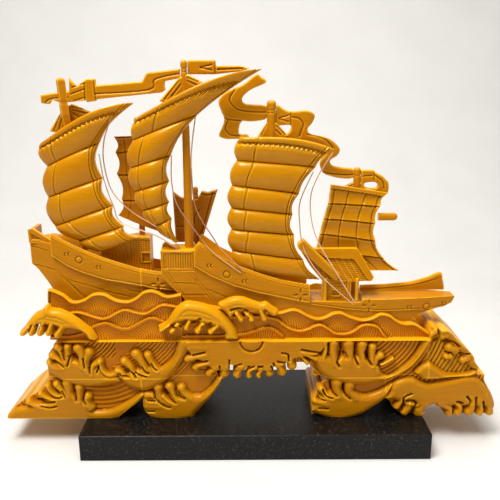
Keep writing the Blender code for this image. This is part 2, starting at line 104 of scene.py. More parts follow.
# Matt painted board, bent up behind into a seamless sweep: one pale tone with a faint roller mottle.
SWEEP_TONES = "#cfccc6", "#d9d6d1"
sweep_paint, tree, shader = new_material("matt_painted_board")
where = add_node(tree, "ShaderNodeTexCoord")
mottle = add_node(tree, "ShaderNodeTexNoise", [(where.outputs["Object"], "Vector")], Scale=9.0, Detail=3.0)
tone = add_node(tree, "ShaderNodeMix", [(mottle.outputs["Fac"], "Factor")], data_type="RGBA")
tone.inputs["A"].default_value = linear(SWEEP_TONES[0])
tone.inputs["B"].default_value = linear(SWEEP_TONES[1])
tree.links.new(tone.outputs["Result"], shader.inputs["Base Color"])
shader.inputs["Roughness"].default_value = 0.75
SWEEP_SIZE = 3.2
sweep = bmesh.new()
bmesh.ops.create_grid(sweep, x_segments=2, y_segments=2, size=SWEEP_SIZE)
for vertex in sweep.verts:
    vertex.co.y -= SWEEP_SIZE - 1.2
top = bmesh.ops.extrude_edge_only(sweep, edges=[e for e in sweep.edges if min(v.co.y for v in e.verts) > 1.1])
bmesh.ops.translate(sweep, vec=(0, 0, 2.4), verts=[v for v in top["geom"] if isinstance(v, bmesh.types.BMVert)])
corner = [e for e in sweep.edges if not e.is_boundary and all(v.co.y > 1.1 and v.co.z < 0.1 for v in e.verts)]
bmesh.ops.bevel(sweep, geom=corner, offset=0.7, segments=16, profile=0.5, affect="EDGES", material=-1)
bmesh.ops.recalc_face_normals(sweep, faces=sweep.faces)
sweep_mesh = bpy.data.meshes.new("sweep")
sweep.to_mesh(sweep_mesh)
sweep.free()
sweep_mesh.shade_smooth()
sweep_mesh.materials.append(sweep_paint)
backdrop = bpy.data.objects.new("sweep", sweep_mesh)
scene.collection.objects.link(backdrop)
backdrop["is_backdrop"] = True

for name, place, size, watts in (("key_light", (-0.5, -0.6, 1.7), 0.7, 38.0),
                                 ("fill_light", (1.2, -1.1, 0.8), 1.2, 5.0),
                                 ("top_light", (0.1, 0.1, 1.7), 1.0, 18.0)):
    lamp = bpy.data.lights.new(name, "AREA")
    lamp.size = size
    lamp.energy = watts
    light = bpy.data.objects.new(name, lamp)
    light.location = place
    light.rotation_euler = (Vector((0, 0, 0.22)) - light.location).to_track_quat("-Z", "Y").to_euler()
    scene.collection.objects.link(light)
scene.world = bpy.data.worlds.new("studio")
scene.world.use_nodes = True
scene.world.node_tree.nodes["Background"].inputs["Color"].default_value = linear("#e9ecf0")
scene.world.node_tree.nodes["Background"].inputs["Strength"].default_value = 0.22

# Slab plinth
# A sawn slab of black granite: fine pale crystals show on its honed top, and the arrises are just
# broken. The imported node keeps its own shape.
granite, tree, shader = new_material("honed_black_granite")
where = add_node(tree, "ShaderNodeTexCoord")
CRYSTAL = 1.3        # mm between pale crystals, drawn a little coarser than real so that they show
crystals = add_node(tree, "ShaderNodeTexVoronoi", [(where.outputs["Object"], "Vector")],
                    Scale=1000 / CRYSTAL, Randomness=1.0)
fleck = add_node(tree, "ShaderNodeMapRange", [(crystals.outputs["Distance"], "Value")],
                 From_Min=0.16, From_Max=0.30, To_Min=1.0, To_Max=0.0)
clouds = add_node(tree, "ShaderNodeTexNoise", [(where.outputs["Object"], "Vector")], Scale=260.0, Detail=4.0)
sparse = add_node(tree, "ShaderNodeMapRange", [(clouds.outputs["Fac"], "Value")], From_Min=0.48, From_Max=0.7)
amount = add_node(tree, "ShaderNodeMath", [(fleck.outputs[0], 0), (sparse.outputs[0], 1)], operation="MULTIPLY")
stone = add_node(tree, "ShaderNodeMix", [(amount.outputs[0], "Factor")], data_type="RGBA")
stone.inputs["A"].default_value = linear("#060606")
stone.inputs["B"].default_value = linear("#857c6c")
tree.links.new(stone.outputs["Result"], shader.inputs["Base Color"])
rough = add_node(tree, "ShaderNodeMapRange", [(clouds.outputs["Fac"], "Value")], To_Min=0.34, To_Max=0.5)
tree.links.new(rough.outputs[0], shader.inputs["Roughness"])
pits = add_node(tree, "ShaderNodeBump", [(crystals.outputs["Distance"], "Height")], Strength=0.12, Distance=0.0002)
tree.links.new(pits.outputs["Normal"], shader.inputs["Normal"])
shader.inputs["IOR"].default_value = 1.32
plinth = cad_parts["plinth"]
plinth.data.materials.clear()
plinth.data.materials.append(granite)

# Wave stand
# Glued-up boxwood, sawn to a running outline and carved on both faces: smooth bowls of water end in
# knobbed fingers of foam over ground that is cut in long curved grooves. Stain stays in the cuts, and the cuts are
# painted darker still as painted shade.
GRAIN = 0.55         # mm between the fine lines of the grain, drawn coarser than real so that they show
TOOL_MARK = 9.0      # mm between the soft facets that the gouge leaves


def boxwood(name, tones, roughness, coat):
    """Boxwood with amber stain under lacquer: tones are for hollows (stain and painted shade), flats, ridges (wear and
    painted highlight) and ground.
    """
    paint, tree, shader = new_material(name)
    stain_and_shade_tone, flat_tone, wear_and_highlight_tone, ground_tone = [linear(tone) for tone in tones]
    where = add_node(tree, "ShaderNodeTexCoord")
    lie = add_node(tree, "ShaderNodeMapping", [(where.outputs["Object"], "Vector")])
    lie.inputs["Scale"].default_value = (0.06, 1.0, 1.0)
    lines = add_node(tree, "ShaderNodeTexNoise", [(lie.outputs["Vector"], "Vector")],
                     Scale=1000 / GRAIN / 4, Detail=3.0, Roughness=0.6)
    cloud = add_node(tree, "ShaderNodeTexNoise", [(where.outputs["Object"], "Vector")], Scale=28.0, Detail=3.0)
    hollow = add_node(tree, "ShaderNodeAttribute", attribute_name="hollow")
    ground = add_node(tree, "ShaderNodeAttribute", attribute_name="ground")
    tinted = add_node(tree, "ShaderNodeMix", [(ground.outputs["Fac"], "Factor")], data_type="RGBA")
    tinted.inputs["A"].default_value = flat_tone
    tinted.inputs["B"].default_value = ground_tone
    warm = add_node(tree, "ShaderNodeMapRange", [(cloud.outputs["Fac"], "Value")],
                    From_Min=0.35, From_Max=0.7, To_Min=0.0, To_Max=0.35)
    patchy = add_node(tree, "ShaderNodeMix", [(warm.outputs[0], "Factor"), (tinted.outputs["Result"], "A")],
                      data_type="RGBA")
    patchy.inputs["B"].default_value = ground_tone
    streak = add_node(tree, "ShaderNodeMapRange", [(lines.outputs["Fac"], "Value")],
                      From_Min=0.35, From_Max=0.65, To_Min=0.93, To_Max=1.04)
    grained = add_node(tree, "ShaderNodeVectorMath", [(patchy.outputs["Result"], 0), (streak.outputs[0], 1)],
                       operation="MULTIPLY")
    # Painted shade: hollow places go towards the dark hollow tone, partly the stain kept in the cuts and partly the
    # shade that falls in them.
    deep = add_node(tree, "ShaderNodeMapRange", [(hollow.outputs["Fac"], "Value")],
                    From_Min=0.52, From_Max=0.80, To_Max=0.9)
    stain_and_painted_shade = add_node(tree, "ShaderNodeMix", [(deep.outputs[0], "Factor"), (grained.outputs[0], "A")],
                       data_type="RGBA")
    stain_and_painted_shade.inputs["B"].default_value = stain_and_shade_tone
    # Painted highlight: proud places go towards the pale ridge tone, partly wear from rubbing and partly the light that
    # the ridges catch.
    proud = add_node(tree, "ShaderNodeMapRange", [(hollow.outputs["Fac"], "Value")],
                     From_Min=0.47, From_Max=0.25, To_Max=0.75)
    wear_and_painted_highlight = add_node(tree, "ShaderNodeMix", [(proud.outputs[0], "Factor"), (stain_and_painted_shade.outputs["Result"], "A")],
                      data_type="RGBA")
    wear_and_painted_highlight.inputs["B"].default_value = wear_and_highlight_tone
    tree.links.new(wear_and_painted_highlight.outputs["Result"], shader.inputs["Base Color"])
    sheen = add_node(tree, "ShaderNodeMapRange", [(cloud.outputs["Fac"], "Value")],
                     To_Min=roughness - 0.05, To_Max=roughness + 0.09)
    tree.links.new(sheen.outputs[0], shader.inputs["Roughness"])
    gouge = add_node(tree, "ShaderNodeTexNoise", [(where.outputs["Object"], "Vector")],
                     Scale=1000 / TOOL_MARK, Detail=1.0)
    facets = add_node(tree, "ShaderNodeBump", [(gouge.outputs["Fac"], "Height")], Strength=0.25, Distance=0.0012)
    pores = add_node(tree, "ShaderNodeBump",
                     [(lines.outputs["Fac"], "Height"), (facets.outputs["Normal"], "Normal")],
                     Strength=0.06, Distance=0.0002)
    tree.links.new(pores.outputs["Normal"], shader.inputs["Normal"])
    shader.inputs["IOR"].default_value = 1.42
    shader.inputs["Specular Tint"].default_value = linear("#ffd27a")
    shader.inputs["Coat Weight"].default_value = coat
    shader.inputs["Coat Roughness"].default_value = 0.16
    return paint


# Amber boxwood under satin lacquer: warm yellow on the ridges, partly wear where the cloth rubs and partly painted
# highlight, and brown in the cuts, partly stain and partly painted shade.
amber_boxwood = boxwood("lacquered_amber_boxwood", ("#4a2000", "#b57400", "#efae12", "#b96600"), 0.40, 0.08)


def bend(points, steps=4, closed=False):
    """Return a smooth line through a few points, with steps pieces between each two."""
    line = np.array(points, float)
    ends = (line[-1], line[0], line[1]) if closed else (line[0], line[-1], line[-1])
    full = np.vstack([ends[0], line, ends[1], ends[2]]) if closed else np.vstack([ends[0], line, ends[1]])
    rows = []
    for a, b, c, d in zip(full, full[1:], full[2:], full[3:]):
        for step in range(steps):
            t = step / steps
            rows.append(0.5 * (2 * b + (c - a) * t + (2 * a - 5 * b + 4 * c - d) * t * t
                               + (3 * b - a - 3 * c + d) * t ** 3))
    rows.append(rows[0] if closed else line[-1])
    return np.array(rows)


def reach(x, z, line):
    """Distance of each place to a line of straight runs, and the share of the line passed there."""
    best = np.full(x.shape, 1e9)
    share = np.zeros(x.shape)
    runs = np.hypot(*(line[1:] - line[:-1]).T)
    passed = np.concatenate([[0.0], np.cumsum(runs)])
    for (x0, z0), (x1, z1), run, before in zip(line, line[1:], runs, passed):
        if run < 1e-6:
            continue
        t = np.clip(((x - x0) * (x1 - x0) + (z - z0) * (z1 - z0)) / run ** 2, 0, 1)
        away = np.hypot(x - x0 - t * (x1 - x0), z - z0 - t * (z1 - z0))
        closer = away < best
        best = np.where(closer, away, best)
        share = np.where(closer, (before + t * run) / passed[-1], share)
    return best, share


def within(x, z, outline):
    """Distance to a closed outline: above zero inside it and below zero outside."""
    away, _ = reach(x, z, outline)
    odd = np.zeros(x.shape, bool)
    for (x0, z0), (x1, z1) in zip(outline, outline[1:]):
        if z0 != z1:
            odd ^= ((z0 > z) != (z1 > z)) & (x < (x1 - x0) * (z - z0) / (z1 - z0) + x0)
    return np.where(odd, away, -away)


def close_to(x, z, line, margin):
    """Mark the places in the line's box, grown by a margin, so that far ones cost nothing."""
    low, high = line.min(0) - margin, line.max(0) + margin
    return (x > low[0]) & (x < high[0]) & (z > low[1]) & (z < high[1])


def swell(height, x, z, outline, top, shoulder):
    """Raise a smooth mass inside an outline; it rounds over within the shoulder's width."""
    near = close_to(x, z, outline, 0)
    depth = np.clip(within(x[near], z[near], outline) / shoulder, 0, 1)
    height[near] = np.maximum(height[near], top * np.sqrt(1 - (1 - depth) ** 2))


def finger(height, x, z, points, radius, top, root=0.95):
    """Raise a rounded finger of foam from its root to its knob."""
    line = bend(points)
    near = close_to(x, z, line, 1.5 * radius)
    away, share = reach(x[near], z[near], line)
    away = away / (radius * (root + (1 - root) * share - 0.2 * np.sin(math.pi * share)))
    raised = top * np.sqrt(np.clip(1 - away ** 2, 0, 1)) - 3 * np.clip(away - 1, 0, 1)
    blend = np.clip(1 - np.abs(height[near] - raised) / 2.4, 0, 1) * np.clip((1.4 - away) / 0.4, 0, 1)
    height[near] = np.maximum(height[near], raised) + 0.5 * blend ** 2


def cut(height, x, z, points, radius, depth):
    """Cut a groove with a round bottom along a line."""
    line = bend(points)
    near = close_to(x, z, line, 2.5 * radius)
    away, _ = reach(x[near], z[near], line)
    height[near] -= depth * np.exp(-(away / radius) ** 2)


def furrows(x, z, centre, pitch, depth):
    """Long grooves that run in arcs round a centre; ridges are rounder than the cuts between them."""
    turn = np.hypot(x - centre[0], z - centre[1]) / pitch
    return -depth * (1 - np.abs(np.sin(math.pi * turn))) ** 1.6


def carve(low, high, pitch, shape_at, front_at, back, ground_at=None):
    """Saw a board to shape_at, then carve its front and back; return it with its ground attribute.

    low and high are corners in (X, Z), shape_at gives the distance inside the outline, front_at
    gives Y, and back gives Y too or is the Y of a back that is left flat.
    """
    board = bmesh.new()
    size = (high[0] - low[0], high[1] - low[1])
    bmesh.ops.create_grid(board, x_segments=max(2, round(size[0] / pitch)),
                          y_segments=max(2, round(size[1] / pitch)), size=0.5)
    places = np.array([vertex.co[:2] for vertex in board.verts]) + 0.5
    x, z = low[0] + places[:, 0] * size[0], low[1] + places[:, 1] * size[1]
    corners = np.array([[vertex.index for vertex in face.verts] for face in board.faces])
    outside = shape_at(x[corners].mean(1), z[corners].mean(1)) < 0
    bmesh.ops.delete(board, geom=[face for face, out in zip(board.faces, outside) if out], context="FACES")
    for _ in range(3):
        pinched = [v for v in board.verts if sum(edge.is_boundary for edge in v.link_edges) > 2]
        bmesh.ops.delete(board, geom=list({face for v in pinched for face in v.link_faces}), context="FACES")
    kept = np.array([vertex.co[:2] for vertex in board.verts]) + 0.5
    x, z = low[0] + kept[:, 0] * size[0], low[1] + kept[:, 1] * size[1]
    edge = np.array([vertex.is_boundary for vertex in board.verts])
    step = pitch / 4
    for _ in range(2):
        ex, ez = x[edge], z[edge]
        inside = shape_at(ex, ez)
        gx = (shape_at(ex + step, ez) - shape_at(ex - step, ez)) / (2 * step)
        gz = (shape_at(ex, ez + step) - shape_at(ex, ez - step)) / (2 * step)
        size_of = np.maximum(np.hypot(gx, gz), 0.5)
        x[edge] = ex - np.clip(inside, -pitch, pitch) * gx / size_of
        z[edge] = ez - np.clip(inside, -pitch, pitch) * gz / size_of
    for vertex, px, py, pz in zip(list(board.verts), x, front_at(x, z), z):
        vertex.co = (px, py, pz)
    if callable(back):
        add_back(board, back(x, z))
    else:
        rim = [e for e in board.edges if e.is_boundary]
        grown = bmesh.ops.extrude_edge_only(board, edges=rim)["geom"]
        for vertex in grown:
            if isinstance(vertex, bmesh.types.BMVert):
                vertex.co.y = back
        bmesh.ops.holes_fill(board, edges=[e for e in grown if isinstance(e, bmesh.types.BMEdge)], sides=0)
        bmesh.ops.recalc_face_normals(board, faces=board.faces)
    if ground_at is not None:
        layer = board.verts.layers.float.new("ground")
        all_places = np.array([vertex.co[:] for vertex in board.verts])
        for vertex, value in zip(board.verts, ground_at(all_places[:, 0], all_places[:, 2])):
            vertex[layer] = value
    return board


def add_back(board, back_y):
    """Thicken a carved front: its far side stands at the given Y, one for each vertex."""
    match = {tuple(vertex.co): y for vertex, y in zip(board.verts, back_y)}
    for vertex in bmesh.ops.extrude_face_region(board, geom=board.faces[:])["geom"]:
        if isinstance(vertex, bmesh.types.BMVert):
            vertex.co.y = match[tuple(vertex.co)]
    bmesh.ops.recalc_face_normals(board, faces=board.faces)


def mark_hollows(mesh, spread=1, gain=1.0):
    """Store how hollow the surface is at each point: 0.5 is flat, 1 a cut and 0 a ridge."""
    count = len(mesh.vertices)
    place, normal = np.empty(count * 3), np.empty(count * 3)
    mesh.vertices.foreach_get("co", place)
    mesh.vertices.foreach_get("normal", normal)
    place, normal = place.reshape(-1, 3), normal.reshape(-1, 3)
    pairs = np.empty(len(mesh.edges) * 2, int)
    mesh.edges.foreach_get("vertices", pairs)
    a, b = pairs.reshape(-1, 2).T
    run = place[b] - place[a]
    length = np.linalg.norm(run, axis=1) + 1e-9
    ends = np.concatenate([a, b])
    rise = np.concatenate([(run * normal[a]).sum(1) / length, -(run * normal[b]).sum(1) / length])
    share = np.maximum(np.bincount(ends, minlength=count), 1)
    hollow = np.bincount(ends, weights=rise, minlength=count) / share
    for _ in range(spread):
        around = np.bincount(ends, weights=np.concatenate([hollow[b], hollow[a]]), minlength=count) / share
        hollow = (hollow + around) / 2
    layer = mesh.attributes.new("hollow", "FLOAT", "POINT")
    layer.data.foreach_set("value", np.clip(0.5 + gain * hollow, 0, 1).astype(np.float32))


SHARP_EDGE = math.radians(50)


def place_piece(name, form, paint, nodes, spread=1, gain=1.0):
    """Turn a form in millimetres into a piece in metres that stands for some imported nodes."""
    bmesh.ops.scale(form, vec=(MM, MM, MM), verts=form.verts)
    mesh = bpy.data.meshes.new(name)
    form.to_mesh(mesh)
    form.free()
    mesh.shade_smooth()
    mesh.set_sharp_from_angle(angle=SHARP_EDGE)
    mark_hollows(mesh, spread, gain)
    mesh.materials.append(paint)
    piece = bpy.data.objects.new(name, mesh)
    scene.collection.objects.link(piece)
    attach(piece, "root")
    if nodes:
        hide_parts(*nodes)
    return piece


STAND_FRONT = -44.0       # the stand's front face, which the top edge keeps
GROUND_DEPTH = 7.5        # how far the grooved ground lies behind it
TOP_EDGE = 131.0
LEG_TOP = 84.0
FOOT = 32.3
STAND_PITCH = 0.95
FINGER_RISE = 8.4
# Bowls of water, each a smooth mass with its height and the width over which it rounds off
BOWLS = (
    ([(-247, 103), (-244, 92), (-236, 84), (-224, 77), (-206, 73), (-190, 72), (-170, 75), (-159, 80),
      (-165, 89), (-176, 90), (-184, 100), (-194, 99), (-199, 104), (-210, 107), (-226, 107), (-240, 104)], 8.4, 8),
    ([(-165, 90), (-158, 79), (-151, 72), (-134, 66), (-123, 69), (-108, 78), (-95, 90), (-85, 106),
      (-76, 124), (-80, 134), (-89, 134), (-94, 117), (-100, 106), (-111, 98), (-117, 101), (-129, 98),
      (-144, 94), (-155, 89)], 8.6, 8),
    ([(-300, 36), (-288, 45), (-275, 47), (-262, 52), (-250, 57), (-238, 63), (-228, 67), (-217, 65),
      (-207, 59), (-199, 51), (-197, 42), (-184, 41), (-170, 44), (-152, 54), (-137, 65), (-132, 60),
      (-162, 30), (-205, 26), (-304, 26)], 8.4, 7),
    ([(-134, 60), (-126, 60), (-113, 60), (-97, 60), (-84, 62), (-76, 62), (-65, 62), (-53, 72), (-41, 90),
      (-30, 90), (-37, 80), (-53, 57), (-70, 39), (-76, 30), (-101, 26), (-127, 30), (-136, 45)], 8.8, 8),
    ([(66, 112), (71, 100), (76, 90), (85, 82), (104, 75), (130, 72), (151, 77), (175, 87), (190, 99),
      (203, 119), (209, 133), (199, 134), (188, 111), (174, 96), (160, 86), (152, 88), (146, 98), (143, 103),
      (129, 110), (112, 111), (95, 110), (80, 113)], 8.8, 9),
    ([(66, 44), (74, 34), (101, 26), (128, 33), (140, 41), (158, 56), (165, 75), (151, 67), (136, 61),
      (121, 62), (113, 64), (100, 66), (86, 64), (76, 57)], 8.8, 8),
    ([(154, 55), (161, 65), (163, 73), (172, 80), (187, 83), (196, 78), (206, 75), (221, 78), (236, 81),
      (260, 85), (278, 69), (286, 57), (290, 42), (276, 42), (258, 44), (243, 44), (226, 44), (218, 46),
      (207, 43), (189, 42), (176, 48), (167, 53)], 8.6, 7),
    ([(189, 91), (204, 103), (213, 98), (227, 89), (247, 88), (263, 92), (258, 84), (236, 82), (205, 79),
      (194, 85)], 9.2, 6),
    ([(-77, 133), (-78, 120), (-74, 112), (-64, 106), (-58, 102), (-52, 96), (-42, 93), (-12, 93), (14, 92),
      (26, 95), (37, 101), (46, 107), (56, 110), (66, 111), (74, 113), (80, 119), (84, 126), (84, 136)], 8.6, 3),
)
# Fingers of foam on the apron that hangs in the arch, and the cuts between them
APRON_FINGERS = (
    ([(-57, 123), (-68, 123), (-76, 123)], 5.4), ([(-57, 113), (-72, 110), (-79, 108)], 4.5),
    ([(-55, 103), (-66, 100), (-70, 97)], 4.1), ([(-47, 96), (-52, 92), (-54, 89)], 4.5),
    ([(-35, 99), (-36, 94), (-36, 89)], 4.9), ([(-14, 100), (-19, 93), (-21, 87)], 4.5),
    ([(-1, 98), (-7, 92), (-7, 86)], 3.5), ([(7, 93), (4, 88), (5, 86)], 3.3), ([(14, 96), (17, 89)], 4.5),
    ([(25, 103), (30, 96), (32, 90)], 4.9), ([(41, 107), (44, 98)], 4.9), ([(53, 114), (59, 106), (62, 102)], 2.6),
    ([(55, 117), (65, 111), (71, 108)], 3.8),
)
APRON_CUTS = (
    ([(-72, 114), (-59, 117)], 1.3), ([(-69, 104), (-56, 106)], 1.3), ([(-30, 107), (-30, 94)], 1.1),
    ([(-30, 94), (-23, 100), (-16, 102)], 1.1), ([(-11, 91), (-9, 95), (-1, 99)], 1.1), ([(-1, 88), (1, 93)], 1.0),
    ([(8, 86), (10, 93)], 1.0), ([(22, 103), (25, 93)], 1.1), ([(27, 105), (36, 103)], 1.3),
    ([(32, 116), (39, 114), (40, 106)], 1.1), ([(55, 120), (64, 118), (76, 116)], 1.3), ([(58, 110), (66, 105)], 1.1),
)
BOSS = (-4, 131, 12)      # half-round boss under the top edge: its centre and radius
# Fingers of foam from root to knob, with the knob's radius
FINGERS = (
    ([(-226, 97), (-237, 98), (-243, 104)], 3.4), ([(-224, 103), (-234, 110), (-239, 113)], 4.0),
    ([(-223, 105), (-228, 119), (-232, 124)], 4.1), ([(-219, 102), (-220, 117), (-220, 124)], 4.0),
    ([(-204, 98), (-204, 114), (-208, 122)], 5.2), ([(-199, 92), (-200, 105), (-195, 117)], 5.0),
    ([(-193, 88), (-191, 100), (-183, 105)], 3.8), ([(-183, 106), (-180, 94), (-173, 88), (-165, 90)], 3.2),
    ([(-153, 84), (-158, 92), (-163, 93)], 3.6), ([(-143, 84), (-147, 98), (-154, 105)], 4.7),
    ([(-128, 90), (-134, 105), (-140, 114)], 5.4), ([(-115, 93), (-122, 104), (-126, 113)], 4.4),
    ([(-126, 88), (-132, 90), (-138, 93)], 2.6),
    ([(-258, 46), (-267, 50), (-272, 53)], 3.9), ([(-237, 54), (-251, 60), (-257, 64)], 3.1),
    ([(-230, 58), (-242, 65), (-247, 74)], 3.5), ([(-224, 60), (-232, 70), (-237, 76)], 4.1),
    ([(-222, 58), (-223, 70), (-224, 77)], 5.6), ([(-210, 54), (-210, 66), (-210, 72)], 4.8),
    ([(-198, 45), (-201, 53), (-201, 59)], 5.0),
    ([(-116, 58), (-124, 61), (-129, 61)], 4.8), ([(-115, 46), (-124, 47), (-130, 47)], 4.0),
    ([(-111, 53), (-115, 63), (-116, 71)], 5.1), ([(-94, 55), (-99, 66), (-102, 72)], 5.0),
    ([(-78, 57), (-85, 64), (-88, 70)], 4.9), ([(-93, 50), (-104, 54), (-110, 60)], 2.4),
    ([(80, 106), (83, 119), (82, 128)], 3.4), ([(94, 100), (92, 117), (92, 127)], 5.5),
    ([(112, 100), (111, 116), (110, 126)], 6.3), ([(129, 100), (126, 116), (126, 125)], 5.6),
    ([(139, 98), (138, 112), (138, 122)], 4.6), ([(145, 90), (142, 105), (148, 111)], 4.2),
    ([(149, 100), (156, 104), (162, 108)], 2.0),
    ([(93, 56), (84, 62), (79, 68)], 4.2), ([(101, 58), (98, 69), (98, 76)], 6.0),
    ([(121, 56), (113, 65), (113, 73)], 6.0), ([(87, 48), (77, 51), (73, 52)], 4.6),
    ([(179, 60), (175, 51), (171, 44)], 3.8), ([(187, 54), (185, 43), (181, 37)], 5.0),
    ([(205, 48), (199, 41), (199, 36)], 6.0), ([(222, 49), (234, 42), (235, 36)], 5.0),
    ([(243, 51), (247, 42), (245, 36)], 4.6), ([(259, 56), (262, 45), (259, 37)], 5.4),
    ([(270, 54), (273, 42), (272, 35)], 3.9), ([(276, 60), (282, 46), (284, 36)], 4.4),
)
# Cuts between and inside the fingers, with half their width
CUTS = (
    ([(-219, 113), (-215, 112), (-209, 106)], 1.5), ([(-221, 101), (-218, 111)], 1.2),
    ([(-235, 109), (-226, 100)], 1.0), ([(-202, 110), (-201, 98)], 1.0), ([(-196, 98), (-195, 91)], 1.0),
    ([(-187, 92), (-184, 101)], 1.0), ([(-213, 119), (-212, 108)], 1.0), ([(-226, 120), (-224, 108)], 1.0),
    ([(-150, 96), (-144, 90), (-141, 85)], 1.5), ([(-134, 99), (-130, 93), (-126, 91)], 1.4),
    ([(-122, 103), (-119, 97), (-116, 95)], 1.1), ([(-141, 91), (-135, 88), (-129, 87)], 1.1),
    ([(-156, 88), (-150, 86)], 1.0),
    ([(-262, 54), (-250, 52), (-240, 54)], 1.4), ([(-256, 48), (-246, 46), (-238, 48)], 1.0),
    ([(-246, 62), (-238, 59), (-231, 60)], 1.1), ([(-217, 66), (-215, 60), (-214, 55)], 1.4),
    ([(-230, 68), (-227, 60)], 1.0), ([(-204, 64), (-206, 56), (-203, 50)], 1.3),
    ([(-109, 66), (-104, 58), (-96, 52)], 1.6), ([(-121, 66), (-118, 56), (-108, 48), (-102, 46)], 1.2),
    ([(-95, 68), (-93, 60), (-84, 57)], 1.2), ([(-128, 55), (-120, 54)], 1.0), ([(-130, 41), (-121, 41)], 1.0),
    ([(101, 129), (101, 112), (97, 104), (100, 98)], 1.4), ([(118, 129), (118, 110), (122, 100)], 1.3),
    ([(133, 122), (133, 108), (138, 100)], 1.4), ([(86, 128), (87, 117)], 1.2), ([(106, 114), (108, 110)], 2.4),
    ([(130, 116), (132, 108)], 2.2), ([(144, 100), (150, 97)], 1.2),
    ([(81, 68), (85, 60), (93, 57)], 1.1), ([(74, 56), (84, 54)], 1.0), ([(77, 44), (88, 43)], 1.0),
    ([(90, 76), (92, 65), (98, 60)], 1.2), ([(106, 75), (107, 63), (114, 56)], 1.2),
    ([(182, 52), (187, 53), (192, 51)], 2.2), ([(180, 46), (178, 57), (187, 62)], 1.3),
    ([(243, 51), (249, 49)], 1.9), ([(254, 58), (259, 51), (255, 45)], 1.4), ([(265, 57), (267, 38)], 1.3),
    ([(274, 51), (277, 42)], 1.4), ([(191, 42), (194, 49)], 1.4), ([(239, 36), (240, 46)], 1.4),
    ([(252, 35), (253, 44)], 1.4), ([(279, 34), (279, 42)], 1.2), ([(177, 40), (178, 47)], 1.2),
)


def stand_relief(x, z):
    """Height of the carving above its ground, shared by every block of the stand."""
    ground = furrows(x, z, (-226, 162), 3.9, 2.0)
    right_of_ridge = x + (131 - z) * 1.05 > -133
    ground = np.where(right_of_ridge, furrows(x, z, (-176, 176), 3.9, 2.0) + 0.9, ground)
    ground = np.where((x < -132) & (z < 82), furrows(x, z, (-186, 130), 6.0, 2.4) + 1.0, ground)
    under_bowl = (x > -112) & (x < -30) & (z < 102 + 0.9 * (x + 70))
    ground = np.where(under_bowl, furrows(x, z, (-124, 132), 3.8, 2.0) - 0.6, ground)
    ground = np.where(x > 60, furrows(x, z, (122, 152), 4.8, 2.4) + 1.2, ground)
    ground = np.where((x > 60) & (z < 76), furrows(x, z, (118, 128), 4.4, 2.0), ground)
    height = ground.copy()
    for outline, top, shoulder in BOWLS:
        swell(height, x, z, bend(outline, 3, closed=True), top, shoulder)
    for points, radius in FINGERS + APRON_FINGERS:
        finger(height, x, z, points, 1.24 * radius, FINGER_RISE + 0.12 * radius)
    for points, radius in CUTS + APRON_CUTS:
        cut(height, x, z, points, 0.85 * radius, 6.0)
    away = np.hypot(x - BOSS[0], z - BOSS[1]) - BOSS[2]
    height -= 2.6 * np.exp(-((away - 1.2) / 1.3) ** 2) + 1.6 * np.clip(1 - away / 14, 0, 1) * (away > 0)
    height = np.where(away < 0, 8.8 - 0.012 * (away + BOSS[2]) ** 2 * (away > -BOSS[2]), height)
    return height, height - ground


def foam_edge(x, z):
    """Distance inside the fingers and bowls, which stand out past the sawn outline."""
    best = np.full(x.shape, -9.0)
    for points, radius in FINGERS + APRON_FINGERS:
        line = bend(points)
        near = close_to(x, z, line, 1.24 * radius)
        away, share = reach(x[near], z[near], line)
        width = 1.2 * radius * (0.95 + 0.05 * share - 0.2 * np.sin(math.pi * share))
        best[near] = np.maximum(best[near], width - away)
    return best


def stand_front(x, z):
    """Y of the carved front; the top edge of the stand is left uncarved as a narrow fillet."""
    height, _ = stand_relief(x, z)
    fillet = np.clip((z - (TOP_EDGE - 1.6)) / 0.8, 0, 1)
    height = np.maximum(height, fillet * (GROUND_DEPTH + 4) - 4)
    return STAND_FRONT + GROUND_DEPTH - height


def stand_back(x, z):
    """Y of the carved back, the same pattern seen from behind."""
    return -stand_front(x, z)


def stand_ground(x, z):
    """One where the grooved ground shows, nought on bowls and fingers."""
    _, above = stand_relief(x, z)
    return 1 - np.clip(above / 1.5, 0, 1)


def clipped(outline, low, high):
    """A shape function: inside an outline and inside a box, whose sides stay straight."""
    line = bend(outline, 4, closed=True)

    def shape_at(x, z):
        edge = np.minimum.reduce([x - low[0], high[0] - x, z - low[1], high[1] - z])
        return np.minimum(np.maximum(within(x, z, line), foam_edge(x, z)), edge)
    return shape_at


def stand_block(name, node, outline, low, high):
    """Saw and carve one block of the stand."""
    block = carve(low, high, STAND_PITCH, clipped(outline, low, high), stand_front, stand_back, stand_ground)
    place_piece(name, block, amber_boxwood, [node])


stand_block("wave_stand_deck", "stand_deck",
            [(-247, 90), (-246, 98), (-242, 104), (-232, 107), (-229, 114), (-226, 120), (-225, 128),
             (-227, 134), (-100, 140), (60, 140), (212, 140), (215, 120), (215, 80), (180, 78), (120, 76),
             (72, 80), (70, 92), (66, 98), (60, 101), (0, 101), (-44, 101), (-47, 92), (-50, 80),
             (-120, 76), (-200, 76), (-242, 78)],
            (-247, LEG_TOP + 0.05), (205, TOP_EDGE))
stand_block("wave_stand_left_foot", "stand_left_foot",
            [(-299.6, 30), (-294, 40), (-283, 51), (-272, 58), (-261, 64), (-252, 72), (-243, 84), (-243, 92),
             (-190, 96), (-128, 92), (-130, 76), (-132, 62), (-140, 53), (-150, 46), (-162, 36), (-176, 26),
             (-230, 24)],
            (-299, FOOT), (-135, LEG_TOP - 0.05))
stand_block("wave_stand_second_leg", "stand_second_leg",
            [(-142, 92), (-90, 96), (-34, 94), (-39, 84), (-44, 72), (-53, 57), (-64, 44), (-76, 30), (-90, 24),
             (-122, 24), (-128, 34), (-134, 42), (-134, 50), (-137, 55), (-140, 70)],
            (-134.9, FOOT), (-36, LEG_TOP - 0.05))
